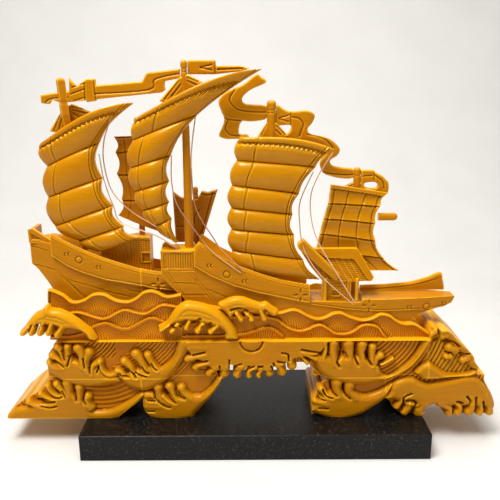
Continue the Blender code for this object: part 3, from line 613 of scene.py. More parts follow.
stand_block("wave_stand_right_leg", "stand_right_leg",
            [(60, 92), (110, 94), (164, 92), (164, 66), (160, 58), (148, 48), (132, 38), (110, 27), (74, 26),
             (69, 36), (71, 44), (70, 52), (74, 60), (77, 70), (86, 82)],
            (68, FOOT), (156.9, LEG_TOP - 0.05))
stand_block("wave_stand_right_foot", "stand_right_foot",
            [(150, 92), (200, 96), (268, 90), (275, 76), (284, 60), (288.5, 46), (288.5, 30), (279, 24), (264, 26),
             (252, 26), (240, 28), (232.5, 31), (231, 38), (226, 43), (219, 45.5), (212, 43), (207, 38),
             (205.5, 31), (194, 26), (181, 30), (172, 37), (166, 42), (165, 48), (158, 53), (150, 56)],
            (157.1, FOOT), (288, LEG_TOP - 0.05))

# Stand aprons and crest
# Foam that hangs in the arch is let in as thin boards at the front and the back, and a sloped scroll
# of foam closes the right end of the stand. All are carved in the same wood as the blocks they meet.
for side, name, front_at, low_y in (("front", "stand_front_apron", stand_front, -32.0),
                                    ("back", "stand_back_apron", stand_back, 32.0)):
    apron = carve((-84, 78), (78, 99.7), STAND_PITCH,
                  lambda x, z: np.minimum.reduce([foam_edge(x, z), 99.7 - z, x + 50, 65.5 - x]), front_at, low_y)
    place_piece("wave_stand_" + side + "_apron", apron, amber_boxwood, [name])

CREST_OUTLINE = [(205.3, 84), (205.3, 140), (212, 146), (218, 142), (226, 142), (238, 130), (256, 112),
                 (259, 104), (266, 94), (265, 89), (258, 84)]
CREST_KNOBS = (([(207, 138), (211, 141)], 5.5), ([(218, 135), (224, 136)], 5.3), ([(229, 120), (236, 117)], 6.9),
               ([(246, 104), (252, 107)], 5.5), ([(226, 109), (230, 109)], 4.9))


def crest_front(x, z):
    """Y of the crest's front: knobs of foam over fanned grooves."""
    water, _ = stand_relief(x, z)
    height = water + 1.5
    edge = np.clip(within(x, z, bend(CREST_OUTLINE, 3, closed=True)) / 9, 0, 1)
    height = np.maximum(height, 8.8 * np.sqrt(1 - np.clip(edge, 0, 1) ** 2) * (x > 214) * (z > 94))
    for points, radius in CREST_KNOBS:
        finger(height, x, z, points, radius, 8.8)
    for points in ([(222, 127), (232, 128), (240, 122)], [(240, 112), (246, 112), (252, 113)],
                   [(214, 142), (216, 134), (212, 128)]):
        cut(height, x, z, points, 1.3, 4.5)
    return STAND_FRONT + 9 - height


def crest_back(x, z):
    """Y of the crest's back."""
    return -crest_front(x, z)


crest_line = bend(CREST_OUTLINE, 3, closed=True)
crest = carve((205.3, 84), (267, 147), STAND_PITCH,
              lambda x, z: np.minimum.reduce([within(x, z, crest_line), x - 205.3, z - 84]), crest_front, crest_back)
place_piece("wave_stand_right_crest", crest, amber_boxwood, ["stand_right_crest"])

# Sea
# One block sawn to wave crests and carved in steps: each crest keeps a thin rounded lip, and the
# water below it is hollowed and hatched with fine curved cuts that hold the orange stain.
SEA_FLOOR = 131.3
SEA_STEP = 1.9        # how far each lower crest stands in front of the one above
SEA_PITCH = 0.8
HATCH = 2.7           # mm between the hatching cuts
LEFT_CRESTS = (
    [(-240, 176), (-239, 190), (-236, 193), (-222, 187), (-211, 178), (-199, 180), (-187, 187), (-174, 187),
     (-161, 180), (-148, 178), (-138, 182), (-129, 189), (-120, 191), (-112, 189), (-101, 184), (-84, 187)],
    [(-240, 152), (-226, 162), (-212, 166), (-202, 166), (-181, 159), (-171, 160), (-158, 167), (-149, 169),
     (-135, 165), (-126, 165), (-112, 173), (-103, 175), (-84, 171)],
    [(-240, 136), (-215, 137), (-199, 142), (-190, 148), (-181, 152), (-172, 153), (-158, 147), (-149, 146),
     (-140, 150), (-126, 158), (-117, 159), (-109, 156), (-84, 146)])
RIGHT_CRESTS = (
    [(-86, 174), (-60, 173), (-30, 168), (0, 165), (26, 163), (42, 167), (51, 166), (62, 160), (72, 156),
     (81, 157), (91, 162), (101, 163), (112, 158), (126, 154), (137, 156), (147, 161), (158, 159), (168, 152),
     (176, 149), (189, 148), (205, 137)],
    [(-86, 148), (-40, 158), (0, 160), (24, 157), (33, 151), (42, 145), (52, 142), (62, 144), (70, 148), (78, 149),
     (86, 145), (95, 139), (106, 138), (115, 141), (125, 148), (135, 149), (145, 146), (152, 137), (158, 131),
     (166, 128), (205, 126)],
    [(-86, 136), (-20, 138), (10, 146), (22, 145), (34, 136), (42, 129), (205, 120)])
BACK_CRESTS = (
    [(-239, 172), (-238, 184), (-234, 186), (-215, 176), (-192, 183), (-168, 176), (-140, 180), (-115, 187),
     (-90, 180), (-60, 172), (-30, 176), (0, 166), (30, 162), (60, 168), (90, 158), (120, 153), (150, 158),
     (178, 150), (205, 137)],
    [(-239, 150), (-210, 160), (-185, 152), (-150, 162), (-118, 168), (-85, 160), (-50, 152), (-15, 160),
     (20, 148), (60, 152), (95, 142), (130, 138), (160, 142), (190, 128), (205, 124)],
    [(-239, 134), (-200, 143), (-165, 136), (-120, 148), (-80, 142), (-40, 135), (0, 143), (40, 134),
     (80, 133), (120, 124), (205, 120)])


def sea_relief(x, z, crests):
    """How far the carved water stands in front of the top layer's ground."""
    height = np.zeros(x.shape)
    for step, crest in enumerate(crests):
        line = bend(crest, 6)
        crest_z = np.interp(x, line[:, 0], line[:, 1])
        slope = np.interp(x + 1, line[:, 0], line[:, 1]) - np.interp(x - 1, line[:, 0], line[:, 1])
        below = (crest_z - z) / np.hypot(1, slope / 2)
        lip = 1.7 * np.sqrt(np.clip(1 - ((below - 1.5) / 1.5) ** 2, 0, 1))
        hollow = -1.3 * np.sin(math.pi * np.clip((below - 2.5) / 16, 0, 1))
        lean = 1.0 + 0.5 * np.sin(x / 50 + 2.1 * step)
        phase = (x - lean * below + 0.035 * below ** 2) / HATCH
        hatch = -0.95 * (1 - np.abs(np.sin(math.pi * phase))) ** 1.3 * np.clip((below - 3.2) / 1.6, 0, 1)
        height = np.where(below > 0, SEA_STEP * step + np.where(below < 3, lip, 0) + hollow + hatch, height)
    return height


def sea_ground(x, z):
    """The whole sea takes the orange stain evenly, lips as well."""
    return np.full(x.shape, 0.85)


def sea_wall(name, node, crests, low, high, back_side, bounds):
    """Saw and carve one wall of the sea."""
    line = bend(crests[0], 6)
    face = -30.3 - 3.4 - 0.6

    def shape_at(x, z):
        crest_z = np.interp(x, line[:, 0], line[:, 1])
        slope = np.interp(x + 1, line[:, 0], line[:, 1]) - np.interp(x - 1, line[:, 0], line[:, 1])
        return np.minimum.reduce([(crest_z - z) / np.hypot(1, slope / 2), z - SEA_FLOOR, x - bounds[0], bounds[1] - x])

    def front_at(x, z):
        y = np.maximum(face - sea_relief(x, z, crests), -38.6)
        return -y if back_side else y
    wall = carve(low, high, SEA_PITCH if not back_side else 1.2, shape_at, front_at,
                 30.3 if back_side else -30.3, sea_ground)
    place_piece(name, wall, amber_boxwood, [node])


sea_wall("sea_left_wall", "sea_front_left", LEFT_CRESTS, (-240, SEA_FLOOR), (-85.3, 194), False, (-240, -85.3))
sea_wall("sea_right_wall", "sea_front_right", RIGHT_CRESTS, (-85, SEA_FLOOR), (204.7, 176), False, (-85, 204.7))
sea_wall("sea_back_wall", "sea_back", BACK_CRESTS, (-239, SEA_FLOOR), (204.7, 188), True, (-239, 204.7))

# Foam curls
# Breaking crests, each a separate crowned piece glued on the sea with short knobbed fingers that
# curl under it and deep slots cut between them. They are rubbed smooth and pale.
pale_boxwood = boxwood("rubbed_pale_boxwood", ("#5c2b00", "#cf8a00", "#f5bb1c", "#bf6e00"), 0.36, 0.1)
FOAM_BACK = -38.8
LEFT_CURL = [(-270, 145), (-263, 156), (-253, 167), (-245, 171), (-238, 178), (-233, 173), (-223, 171), (-209, 163),
             (-197, 153), (-188, 144), (-184, 134), (-193, 134), (-198, 142), (-208, 147), (-218, 148), (-223, 146),
             (-228, 150), (-241, 153), (-252, 153), (-262, 149)]
LEFT_TIPS = (([(-261, 152), (-269, 143)], 4.0), ([(-253, 156), (-259, 143)], 4.2), ([(-243, 157), (-249, 143)], 4.4),
             ([(-234, 156), (-239, 143)], 4.4), ([(-222, 152), (-229, 141)], 4.6))
LEFT_SLOTS = ([(-252, 153), (-251, 150)], [(-243, 153), (-242, 150)], [(-231, 152), (-230, 148)])
MIDDLE_CURL = [(-112, 150), (-102, 156), (-96, 165), (-89, 174), (-79, 180), (-67, 179), (-55, 176), (-43, 170),
               (-33, 161), (-25, 150), (-21, 142), (-20, 134), (-34, 134), (-35, 142), (-40, 148), (-46, 150),
               (-56, 153), (-68, 156), (-83, 156), (-96, 152), (-105, 147)]
MIDDLE_TIPS = (([(-99, 153), (-108, 147)], 3.2), ([(-89, 154), (-96, 145)], 4.2), ([(-76, 157), (-79, 149)], 3.9),
               ([(-60, 154), (-66, 145)], 4.4), ([(-43, 152), (-51, 144)], 4.2))
MIDDLE_SLOTS = ([(-83, 156), (-79, 158)], [(-71, 156), (-63, 160)], [(-60, 150), (-51, 155)], [(-94, 150), (-88, 148)])
RIGHT_CURL = [(-42, 176), (-35, 181), (-25, 185), (-14, 185), (-3, 181), (6, 178), (13, 179), (20, 174), (27, 169),
              (27, 164), (22, 161), (14, 165), (4, 167), (-8, 169), (-21, 167), (-28, 160), (-33, 165)]
RIGHT_TIPS = (([(7, 169), (11, 159)], 4.0), ([(-10, 167), (-4, 158)], 3.8), ([(-21, 166), (-16, 158)], 3.6))
RIGHT_SLOTS = ([(-4, 167), (1, 164)], [(12, 169), (15, 165)], [(-13, 165), (-8, 160)], [(-27, 170), (-17, 172), (-9, 168)])


def foam_curl(name, node, outline, tips, slots, thick, shift=(0.0, 0.0), flip=False):
    """Saw and carve one curl of foam; flip puts it on the back of the sea."""
    line = bend(outline, 4, closed=True)
    low, high = line.min(0) - 5, line.max(0) + 2

    def shape_at(x, z):
        x, z = x - shift[0], z - shift[1]
        inside = within(x, z, line)
        for points, radius in tips:
            away, share = reach(x, z, bend(points))
            inside = np.maximum(inside, radius * (0.85 + 0.15 * share) - away)
        return inside

    def front_at(x, z):
        x, z = x - shift[0], z - shift[1]
        height = np.full(x.shape, 1.0)
        swell(height, x, z, line, thick, 7)
        for points, radius in tips:
            finger(height, x, z, points, radius, thick + 0.4, 0.85)
        for points in slots:
            cut(height, x, z, points, 1.5, thick)
        rim = within(x, z, line)
        height -= 0.7 * np.exp(-((rim - 8.5) / 1.3) ** 2)
        y = FOAM_BACK - np.maximum(height, 0.6)
        return -y if flip else y
    curl = carve(low + shift, high + shift, 0.8, shape_at, front_at, -FOAM_BACK if flip else FOAM_BACK)
    place_piece(name, curl, pale_boxwood, [node])


foam_curl("foam_curl_left", "foam_left", LEFT_CURL, LEFT_TIPS, LEFT_SLOTS, 10.5)
foam_curl("foam_curl_middle", "foam_middle", MIDDLE_CURL, MIDDLE_TIPS, MIDDLE_SLOTS, 10.5)
foam_curl("foam_curl_right", "foam_right", RIGHT_CURL, RIGHT_TIPS, RIGHT_SLOTS, 7.6)
foam_curl("foam_curl_back_left", "foam_back_left", MIDDLE_CURL, MIDDLE_TIPS, MIDDLE_SLOTS, 6.8, flip=True)
foam_curl("foam_curl_back_right", "foam_back_right", MIDDLE_CURL, MIDDLE_TIPS, MIDDLE_SLOTS, 6.8, (155, -6), True)

# Hulls
# Two solid hulls sawn from thick boards: flat sides with scratched plank lines, a raised strake with a
# bevelled rail along the top, low decks between, and small punched ornaments.
RAIL_BEVEL = 3.8
STRAKE = 3.0


def wrap(around, along, place_at):
    """A closed skin: place_at turns shares around its ring and along its length into X, Y and Z."""
    skin = bmesh.new()
    bmesh.ops.create_grid(skin, x_segments=along, y_segments=around, size=0.5)
    shares = np.array([vertex.co[:2] for vertex in skin.verts]) + 0.5
    for vertex, spot in zip(skin.verts, np.stack(place_at(shares[:, 1], shares[:, 0]), 1)):
        vertex.co = spot
    bmesh.ops.remove_doubles(skin, verts=skin.verts, dist=1e-4)
    bmesh.ops.holes_fill(skin, edges=[edge for edge in skin.edges if edge.is_boundary], sides=0)
    bmesh.ops.recalc_face_normals(skin, faces=skin.faces)
    return skin


def along_line(x, line):
    """Height of a line of corners at each X."""
    points = np.array(line, float)
    return np.interp(x, points[:, 0], points[:, 1])


def hull(name, node, low, high, keel, deck, near, far, relief_at):
    """Wrap a hull's skin around its near side, deck, far side and bottom."""
    def place_at(around, along):
        x = low + along * (high - low)
        bottom, top = along_line(x, keel), along_line(x, deck)
        near_y, far_y = along_line(x, near), along_line(x, far)
        up = np.clip(around / 0.42, 0, 1)
        over = np.clip((around - 0.42) / 0.2, 0, 1)
        down = np.clip((around - 0.62) / 0.3, 0, 1)
        back = np.clip((around - 0.92) / 0.08, 0, 1)
        z = bottom + (top - bottom) * (up - down)
        sides = relief_at(x, z)
        foot = relief_at(x, bottom)
        near_skin, far_skin = near_y - sides * (over == 0), far_y + sides * (down > 0) * (back == 0)
        y = near_skin + (far_skin - near_skin) * over
        y = np.where(back > 0, far_y + foot + (near_y - foot - far_y - foot) * back, y)
        seam = np.abs((y / 4.5) % 1 - 0.5)
        z = z - 0.6 * np.exp(-(seam / 0.07) ** 2) * ((over > 0) & (down == 0))
        return x, y, z
    skin = wrap(150, round((high - low) / 1.15), place_at)
    place_piece(name, skin, amber_boxwood, [node])


REAR_RAIL = [(-240, 258), (-236, 256), (-233, 254.5), (-215, 244.5), (-198, 236), (-181, 228.5), (-163, 222),
             (-140, 214.5), (-127, 211.5), (-110, 208.5), (-80, 210), (-55, 216), (-38, 224)]
REAR_STRIP = [(-236, 230), (-217, 216), (-200, 208), (-174, 199), (-141, 193), (-119, 188), (-80, 190), (-55, 197),
              (-38, 208)]
FRONT_RAIL = [(-69, 238), (-66, 245), (-63, 248), (-41, 231.5), (-15, 218), (7, 209.5), (29, 202.5), (52, 198),
              (64, 196)]
FRONT_STRIP = [(-72, 221), (-50, 207), (-24, 195), (2, 187), (29, 181), (52, 176), (64, 174)]


def ornament(height, x, z, kind, place, depth=1.1):
    """Punch a ring, a pair of new moons or a cross of four petals round a place."""
    px, pz = place
    if kind == "ring":
        away = np.hypot(x - px, z - pz)
        height -= depth * np.exp(-((away - 4.0) / 0.8) ** 2)
        height += 0.7 * np.clip(1 - (away / 3.2) ** 2, 0, 1)
    elif kind == "cross":
        for dx, dz in ((0, 5.5), (0, -5.5), (5.5, 0), (-5.5, 0)):
            cut(height, x, z, [(px + 0.7 * dx, pz + 0.7 * dz), (px + 1.3 * dx, pz + 1.3 * dz)], 1.0, 1.6 * depth)
    else:
        side = 1 if kind == "moons_right" else -1
        for shift in (-1.8, 2.0):
            cut(height, x, z, [(px + shift - 0.9 * side, pz + 2.0), (px + shift + 0.5 * side, pz),
                               (px + shift - 0.9 * side, pz - 2.0)], 0.75, 1.3 * depth)


def scratch(height, x, z, lines, depth=0.8, width=0.75):
    """Scratch straight lines, each with the pale burr that the tool raises on its upper side."""
    for points in lines:
        cut(height, x, z, points, width, depth)
        cut(height, x, z, [(a, b + 1.3) for a, b in points], 0.6, -0.35)


def strake(x, z, rail, foot, ornaments, rail_lines=0.0):
    """Height of a raised strake: bevelled rail, a dark line under it, and a double bead at its foot."""
    below, above = along_line(x, rail) - z, z - along_line(x, foot)
    height = -2.5 * np.clip((RAIL_BEVEL - below) / RAIL_BEVEL, 0, 1)
    height -= 0.8 * np.exp(-((below - RAIL_BEVEL - 0.9) / 0.7) ** 2)
    height -= 0.8 * np.exp(-((above - 2.7) / 0.6) ** 2) + 0.7 * np.exp(-((above + 0.2) / 0.6) ** 2)
    height += 0.35 * np.exp(-((above - 1.3) / 0.6) ** 2)
    height -= rail_lines * 0.5 * (np.sin(below * 4.2) > 0.2) * (below < RAIL_BEVEL)
    for kind, place in ornaments:
        ornament(height, x, z, kind, place)
    return height


def rear_side(x, z):
    """Scratched lines of the rear hull."""
    height = np.zeros(x.shape)
    scratch(height, x, z, ([(-259, 217), (-247, 215), (-233, 212)], [(-264, 240), (-241, 235)],
                           [(-228, 205), (-201, 178)], [(-230, 210), (-216, 194), (-205, 180)],
                           [(-218, 199), (-198, 193), (-172, 184), (-148, 178)], [(-148, 186), (-124, 181), (-104, 180)]))
    return height


hull("rear_hull_block", "rear_hull", -262, -38,
     [(-262, 218), (-254, 211), (-243, 196), (-228, 170), (-214, 148.3), (-62, 148.3), (-48, 170), (-38, 200)],
     [(-262, 243), (-246, 245), (-236, 243), (-215, 233), (-198, 225), (-181, 217), (-163, 211), (-140, 203),
      (-127, 200), (-110, 197), (-80, 199), (-55, 205), (-38, 213)],
     [(-262, -12), (-236, -18), (-133, -18), (-116, 4), (-110, 8.6), (-80, 10), (-38, 15)],
     [(-262, 22), (-236, 30), (-120, 30), (-80, 28), (-38, 21)], rear_side)


def front_side(x, z):
    """Scratched lines of the front hull: the transom's panel, planks, and the bow's own strake."""
    height = np.zeros(x.shape)
    scratch(height, x, z, ([(-104, 211), (-83, 179)], [(-100, 211), (-79, 179)], [(-76, 211), (-48, 175)],
                           [(-72, 211), (-44, 175)], [(-95, 198.5), (-68, 198)], [(-85, 184), (-56, 184)],
                           [(-55, 191), (-33, 181)]))
    low_line = along_line(x, [(40, 175), (64, 171), (109, 164.5), (144, 162), (202, 161.5), (237, 165)])
    bow = np.clip((x - 62) / 4, 0, 1)
    height += bow * 1.6 * np.clip((z - low_line) / 0.8, 0, 1)
    height -= bow * 0.8 * np.exp(-((z - low_line - 2.6) / 0.6) ** 2)
    for kind, place in (("cross", (134, 170)), ("ring", (203, 166)), ("moons_left", (182, 166)), ("moons_right", (225, 168))):
        ornament(height, x, z, kind, place, 1.0)
    return height


hull("front_hull_block", "front_hull", -108, 237,
     [(-108, 205), (-83, 179), (-61, 148.3), (183, 148.3), (188, 153), (204, 160), (226, 165), (234, 169), (237, 175)],
     [(-108, 212.4), (-68.5, 212.4), (-66, 222), (-41, 214), (-15, 203), (7, 196), (29, 190), (52, 186), (64, 184),
      (66, 176), (124.6, 174), (127, 178), (234, 177), (237, 177)],
     [(-108, -27), (-80, -30), (150, -30), (200, -24), (237, -17)],
     [(-108, 5), (-80, 8), (150, 8), (200, 4), (237, -4)], front_side)


def side_board(name, nodes, low, high, rail, foot, face, back, ornaments, rail_lines=0.0, cut_off=None):
    """A strake sawn between its rail and foot lines and carved on the face that shows."""
    def shape_at(x, z):
        inside = np.minimum.reduce([along_line(x, rail) - z, z - along_line(x, foot), x - low[0], high[0] - x])
        return inside if cut_off is None else np.minimum(inside, within(x, z, np.array(cut_off + cut_off[:1], float)))

    def front_at(x, z):
        height = strake(x, z, rail, foot, ornaments, rail_lines)
        return face - height if face < back else face + height
    board = carve(low, high, 0.9, shape_at, front_at, back)
    place_piece(name, board, amber_boxwood, nodes)


REAR_MARKS = (("moons_left", (-218, 231)), ("ring", (-204, 224.5)), ("moons_left", (-182, 215)))
side_board("rear_strake_near", ["rear_bulwark_near"], (-235, 190), (-133, 256), REAR_RAIL, REAR_STRIP, -21.3, -18.3,
           REAR_MARKS)
side_board("rear_strake_quarter", [], (-133, 150), (-60, 214), REAR_RAIL, [(-133, 192), (-119, 188), (-92, 185.5)],
           -21.2, -17.8, (("cross", (-113, 194)),), cut_off=[(-133, 220), (-112, 214), (-89.5, 180), (-133, 180)])
side_board("rear_strake_far", ["rear_bulwark_far"], (-235, 188), (-60, 256), REAR_RAIL, REAR_STRIP, 33.3, 30.2,
           (("moons_left", (-218, 231)), ("ring", (-204, 224.5)), ("cross", (-113, 197))))
FRONT_MARKS = (("moons_left", (-52, 220)), ("ring", (-32, 209.5)), ("moons_left", (-12, 201)), ("cross", (53.5, 184)))
side_board("front_strake_near", ["front_bulwark_near"], (-68.6, 174), (64, 248), FRONT_RAIL, FRONT_STRIP, -33.3, -30.2,
           FRONT_MARKS, rail_lines=1.0)
side_board("front_strake_far", ["front_bulwark_far"], (-66, 174), (64, 248), FRONT_RAIL, FRONT_STRIP, 11.3, 8.2, FRONT_MARKS)

# Below the rear junk's quarter the wood runs on to the front junk's transom.
quarter = carve((-133.5, 149), (-60, 197), 1.2,
                lambda x, z: np.minimum.reduce([along_line(x, [(-133.5, 193), (-119, 190), (-60, 186)]) - z, x + 133.4, z - 149,
                                                (-63 - x) * 0.6 - (z - 149) * 0.55]),
                lambda x, z: -18 - rear_side(x, z), -2.0)
place_piece("rear_quarter_filling", quarter, amber_boxwood, [])

# The rear junk's stern is closed by a low cheek with a sunk triangle and by its far rail.
CHEEK = [(-262, 243.4), (-262.4, 259), (-257, 260.5), (-236, 246), (-236, 243.4)]
cheek_line = np.array(CHEEK + CHEEK[:1], float)
TRIANGLE = [(-259.5, 255), (-246, 247), (-259.5, 247), (-259.5, 255)]


def cheek_front(x, z):
    """Y of the cheek with its sunk triangle."""
    sunk = np.clip(within(x, z, np.array(TRIANGLE, float)) / 0.8, 0, 1)
    return -14.5 + 2.2 * sunk


place_piece("rear_stern_cheek", carve((-263, 243.4), (-235, 261), 0.8, lambda x, z: within(x, z, cheek_line),
                                      cheek_front, -10.5), amber_boxwood, [])
rail_block = wrap(48, 16, lambda around, along: (
    -259 + 2.0 * np.cos(2 * math.pi * around) / np.maximum(abs(np.cos(2 * math.pi * around)), abs(np.sin(2 * math.pi * around))),
    -8 + 26 * along,
    251.2 + 7.8 * np.sin(2 * math.pi * around) / np.maximum(abs(np.cos(2 * math.pi * around)), abs(np.sin(2 * math.pi * around)))))
place_piece("rear_stern_board", rail_block, amber_boxwood, ["rear_stern_rail"])

# Stern gallery: a framed box of upright slats that hangs over the front junk's transom.


def gallery_front(x, z):
    """Y of the gallery's face."""
    edge = np.minimum.reduce([x + 107.6, -69.4 - x, z - 213, 235.7 - z])
    slats = 0.9 * np.abs(np.sin(math.pi * (x + 105) / 2.85)) ** 0.6 - 1.9
    height = np.where(edge < 2.4, -0.9 * np.exp(-((edge - 1.2) / 0.45) ** 2), slats)
    return -26.9 - np.where(edge < 0.4, -0.5, height)


gallery = carve((-108, 212.7), (-69, 236), 0.7, lambda x, z: np.minimum.reduce([x + 108, -69 - x, z - 212.7, 236 - z]),
                gallery_front, 5.0)
place_piece("stern_gallery_box", gallery, amber_boxwood, ["stern_gallery"])
GABLE = [(-108, 236.1), (-107, 241), (-103, 245), (-97, 241), (-91, 236.1)]
gable_line = np.array(GABLE + GABLE[:1], float)
place_piece("stern_gallery_gable", carve((-109, 236), (-90, 246), 0.8, lambda x, z: within(x, z, gable_line),
                                         lambda x, z: -17 + 1.2 * np.clip((within(x, z, gable_line) - 1.6) / 0.6, 0, 1), -13.5),
            amber_boxwood, [])

# Bow rail: the far bulwark of the front junk's bow, a curved board with one scratched line.
BOW_RAIL = [(128, 184), (160, 185), (190, 188), (210, 194), (219, 198.5), (223, 200), (227, 199), (228, 190), (230, 184)]


def bow_rail_front(x, z):
    """Y of the bow rail's inner face."""
    height = np.zeros(x.shape)
    scratch(height, x, z, ([(148, 180), (177, 182.5), (203, 187), (222, 193)],), 0.8)
    return 0.1 - height + 1.6 * np.clip(1 - (along_line(x, BOW_RAIL) - z) / 2.2, 0, 1)


bow_rail = carve((128, 178.3), (230, 200), 0.9,
                 lambda x, z: np.minimum.reduce([along_line(x, BOW_RAIL) - z, z - 178.3, x - 128, 230 - x]), bow_rail_front, 4.0)
place_piece("bow_bulwark_far", bow_rail, amber_boxwood, ["bow_rail_far"])

# Deckhouses
# Plank-lined cabins. The rear one shows a small sunk window; the front one stands on corner posts
# under a wide roof with thick verge boards over battened, tiled slopes.


def rear_house_front(x, z):
    """Y of the rear cabin's side: upright planks at the right, curved boards at the left, a window."""
    height = -0.5 * np.exp(-((np.abs((x / 3.1) % 1 - 0.5)) / 0.12) ** 2) * (x > -146)
    height -= 0.35 * np.exp(-((np.abs((z / 2.4) % 1 - 0.5)) / 0.14) ** 2) * (x > -150)
    away = np.hypot(x + 176, z - 224)
    height -= 0.7 * np.exp(-((np.abs((away / 4.2) % 1 - 0.5)) / 0.1) ** 2) * (x <= -150)
    pane = np.minimum.reduce([x + 134, -124.8 - x, z - 215.5, 225.5 - z])
    height = np.where(pane > -1.4, 0.8, height)
    height = np.where(pane > 0, -1.8, height)
    height -= 0.9 * np.exp(-((x + 147.5) / 0.6) ** 2)
    roof = along_line(x, [(-183, 234), (-160, 243), (-142, 246), (-124, 245)]) - z
    return 1.0 + 1.0 - np.where(roof < 2.5, 1.4, height)


rear_house = carve((-183, 199.8), (-124, 246), 0.8,
                   lambda x, z: np.minimum.reduce([x + 183, -124 - x, z - 199.8,
                                                   along_line(x, [(-183, 234), (-160, 243), (-142, 246), (-124, 245)]) - z,
                                                   z - along_line(x, [(-183, 219), (-163, 211.5), (-140, 203.5), (-124, 199.8)])]),
                   rear_house_front, 23.0)
place_piece("rear_cabin", rear_house, amber_boxwood, ["rear_deckhouse"])


def front_house_front(x, z):
    """Y of the front cabin's side: planks, a framed window and a corner post."""
    height = -0.6 * np.exp(-((np.abs((z / 4.2) % 1 - 0.5)) / 0.1) ** 2)
    pane = np.minimum.reduce([x - 92, 100 - x, z - 180.5, 187 - z])
    height = np.where(pane > -1.5, 0.9, height)
    height = np.where(pane > 0, -2.0, height)
    return -24 - np.where(x > 108.5, 0.9, height)


front_house = carve((80, 175), (113, 200), 0.8, lambda x, z: np.minimum.reduce([x - 80, 113 - x, z - 175, 200 - z]),
                    front_house_front, -12.0)
place_piece("front_cabin", front_house, amber_boxwood, ["front_deckhouse"])
for number, px in enumerate((82.5, 119.5)):
    post = wrap(12, 8, lambda around, along, px=px: (px + 2.1 * np.cos(2 * math.pi * around),
                                                     -27.2 + 2.1 * np.sin(2 * math.pi * around), 175 + 27 * along))
    place_piece("front_cabin_post_" + "ab"[number], post, amber_boxwood, [])

ROOF = [(56, 238), (53, 234), (66, 214), (78, 199.5), (92, 199), (122, 196), (136, 199), (139, 203), (121, 234.5),
        (119, 236), (62, 236)]
ROOF_FRAME = [(68, 237), (122, 237), (142, 203), (134, 197), (115, 224), (82, 226)]
VERGE = [(56, 250), (49, 244), (50, 239), (90, 203), (95, 200), (99, 207)]
roof_line = np.array(ROOF + ROOF[:1], float)
frame_line = np.array(ROOF_FRAME + ROOF_FRAME[:1], float)
verge_line = np.array(VERGE + VERGE[:1], float)


def roof_front(x, z):
    """Y of the roof: battens and tiles between raised verge boards."""
    slant = x + (z - 200) * 0.62
    height = 0.9 * np.exp(-((np.abs((slant / 7.5) % 1 - 0.5)) / 0.12) ** 2)
    height -= 0.6 * np.exp(-((np.abs((z / 2.6 + 0.2 * np.floor(slant / 7.5)) % 1 - 0.5)) / 0.16) ** 2)
    left = x < along_line(z, [(196, 97), (238, 62)])
    height = np.where(left, height - 1.5, height)
    height = np.where(within(x, z, frame_line) > 0, 3.0, height)
    tilt = (236 - z) * 0.2
    return -17.6 - tilt - height


roof = carve((53, 196), (139, 237), 0.8, lambda x, z: np.minimum(within(x, z, roof_line), np.minimum(236 - z, z - 198)),
             roof_front, lambda x, z: -14 + (236 - z) * 0.12)
place_piece("front_cabin_roof", roof, amber_boxwood, ["front_deckhouse_roof"])
verge = carve((49, 199), (100, 251), 0.9, lambda x, z: within(x, z, verge_line),
              lambda x, z: -30.5 + 1.2 * np.clip(1 - within(x, z, verge_line) / 1.6, 0, 1), -23.0)
place_piece("front_cabin_verge", verge, amber_boxwood, [])

# Masts
# Posts whittled from the same block: faceted or round, with a turned line under the head, and thin
# fans of fluted wood that brace each one against the rim of its sail.


def mast(name, node, foot, head, radii, facets, rings, forward=0.0):
    """A post from foot to head; facets is its number of flat faces, and its head may lean forward."""
    def place_at(around, along):
        turn = 2 * math.pi * around
        radius = radii[0] + (radii[1] - radii[0]) * along
        if facets:
            part = 2 * math.pi / facets
            radius = radius * math.cos(part / 2) / np.cos((turn + 0.35) % part - part / 2)
        height = along * (head[2] - foot[2])
        for ring in rings:
            radius = radius - 0.8 * np.exp(-((height - (head[2] - foot[2]) + ring) / 0.8) ** 2)
        radius = radius * np.sqrt(np.clip(1 - np.clip((height - (head[2] - foot[2]) + 3.5) / 4.2, 0, 1) ** 2, 0.05, 1))
        lean = forward * np.clip((along - 0.6) / 0.2, 0, 1)
        return (foot[0] + (head[0] - foot[0]) * along + radius * np.cos(turn),
                foot[1] + (head[1] - foot[1]) * along - lean + radius * np.sin(turn), foot[2] + height)
    place_piece(name, wrap(48, round((head[2] - foot[2]) / 1.1), place_at), amber_boxwood, [node])


mast("rear_mast_post", "rear_mast", (-202, 3.9, 230), (-213, 3.9, 428), (4.6, 6.4), 4, (27, 25), 8.5)
mast("rear_fore_mast_post", "rear_fore_mast", (-70, 23, 202.8), (-70, 23, 302), (3.6, 3.2), 0, (8,))
mast("rear_inner_mast_post", "rear_inner_mast", (-135, 16, 246.3), (-135, 16, 384), (3.6, 3.2), 0, (8,))
mast("tall_mast_post", "tall_mast", (-76, -10, 236.3), (-76, -10, 446), (5.2, 3.6), 0, (9, 12))
mast("middle_mast_post", "middle_mast", (19.5, -10, 194), (19.5, -10, 403), (4.6, 5.2), 0, (10, 13))
mast("fore_mast_post", "fore_mast", (119.5, 3, 174.6), (119.5, 3, 327), (4, 4), 0, (9,))


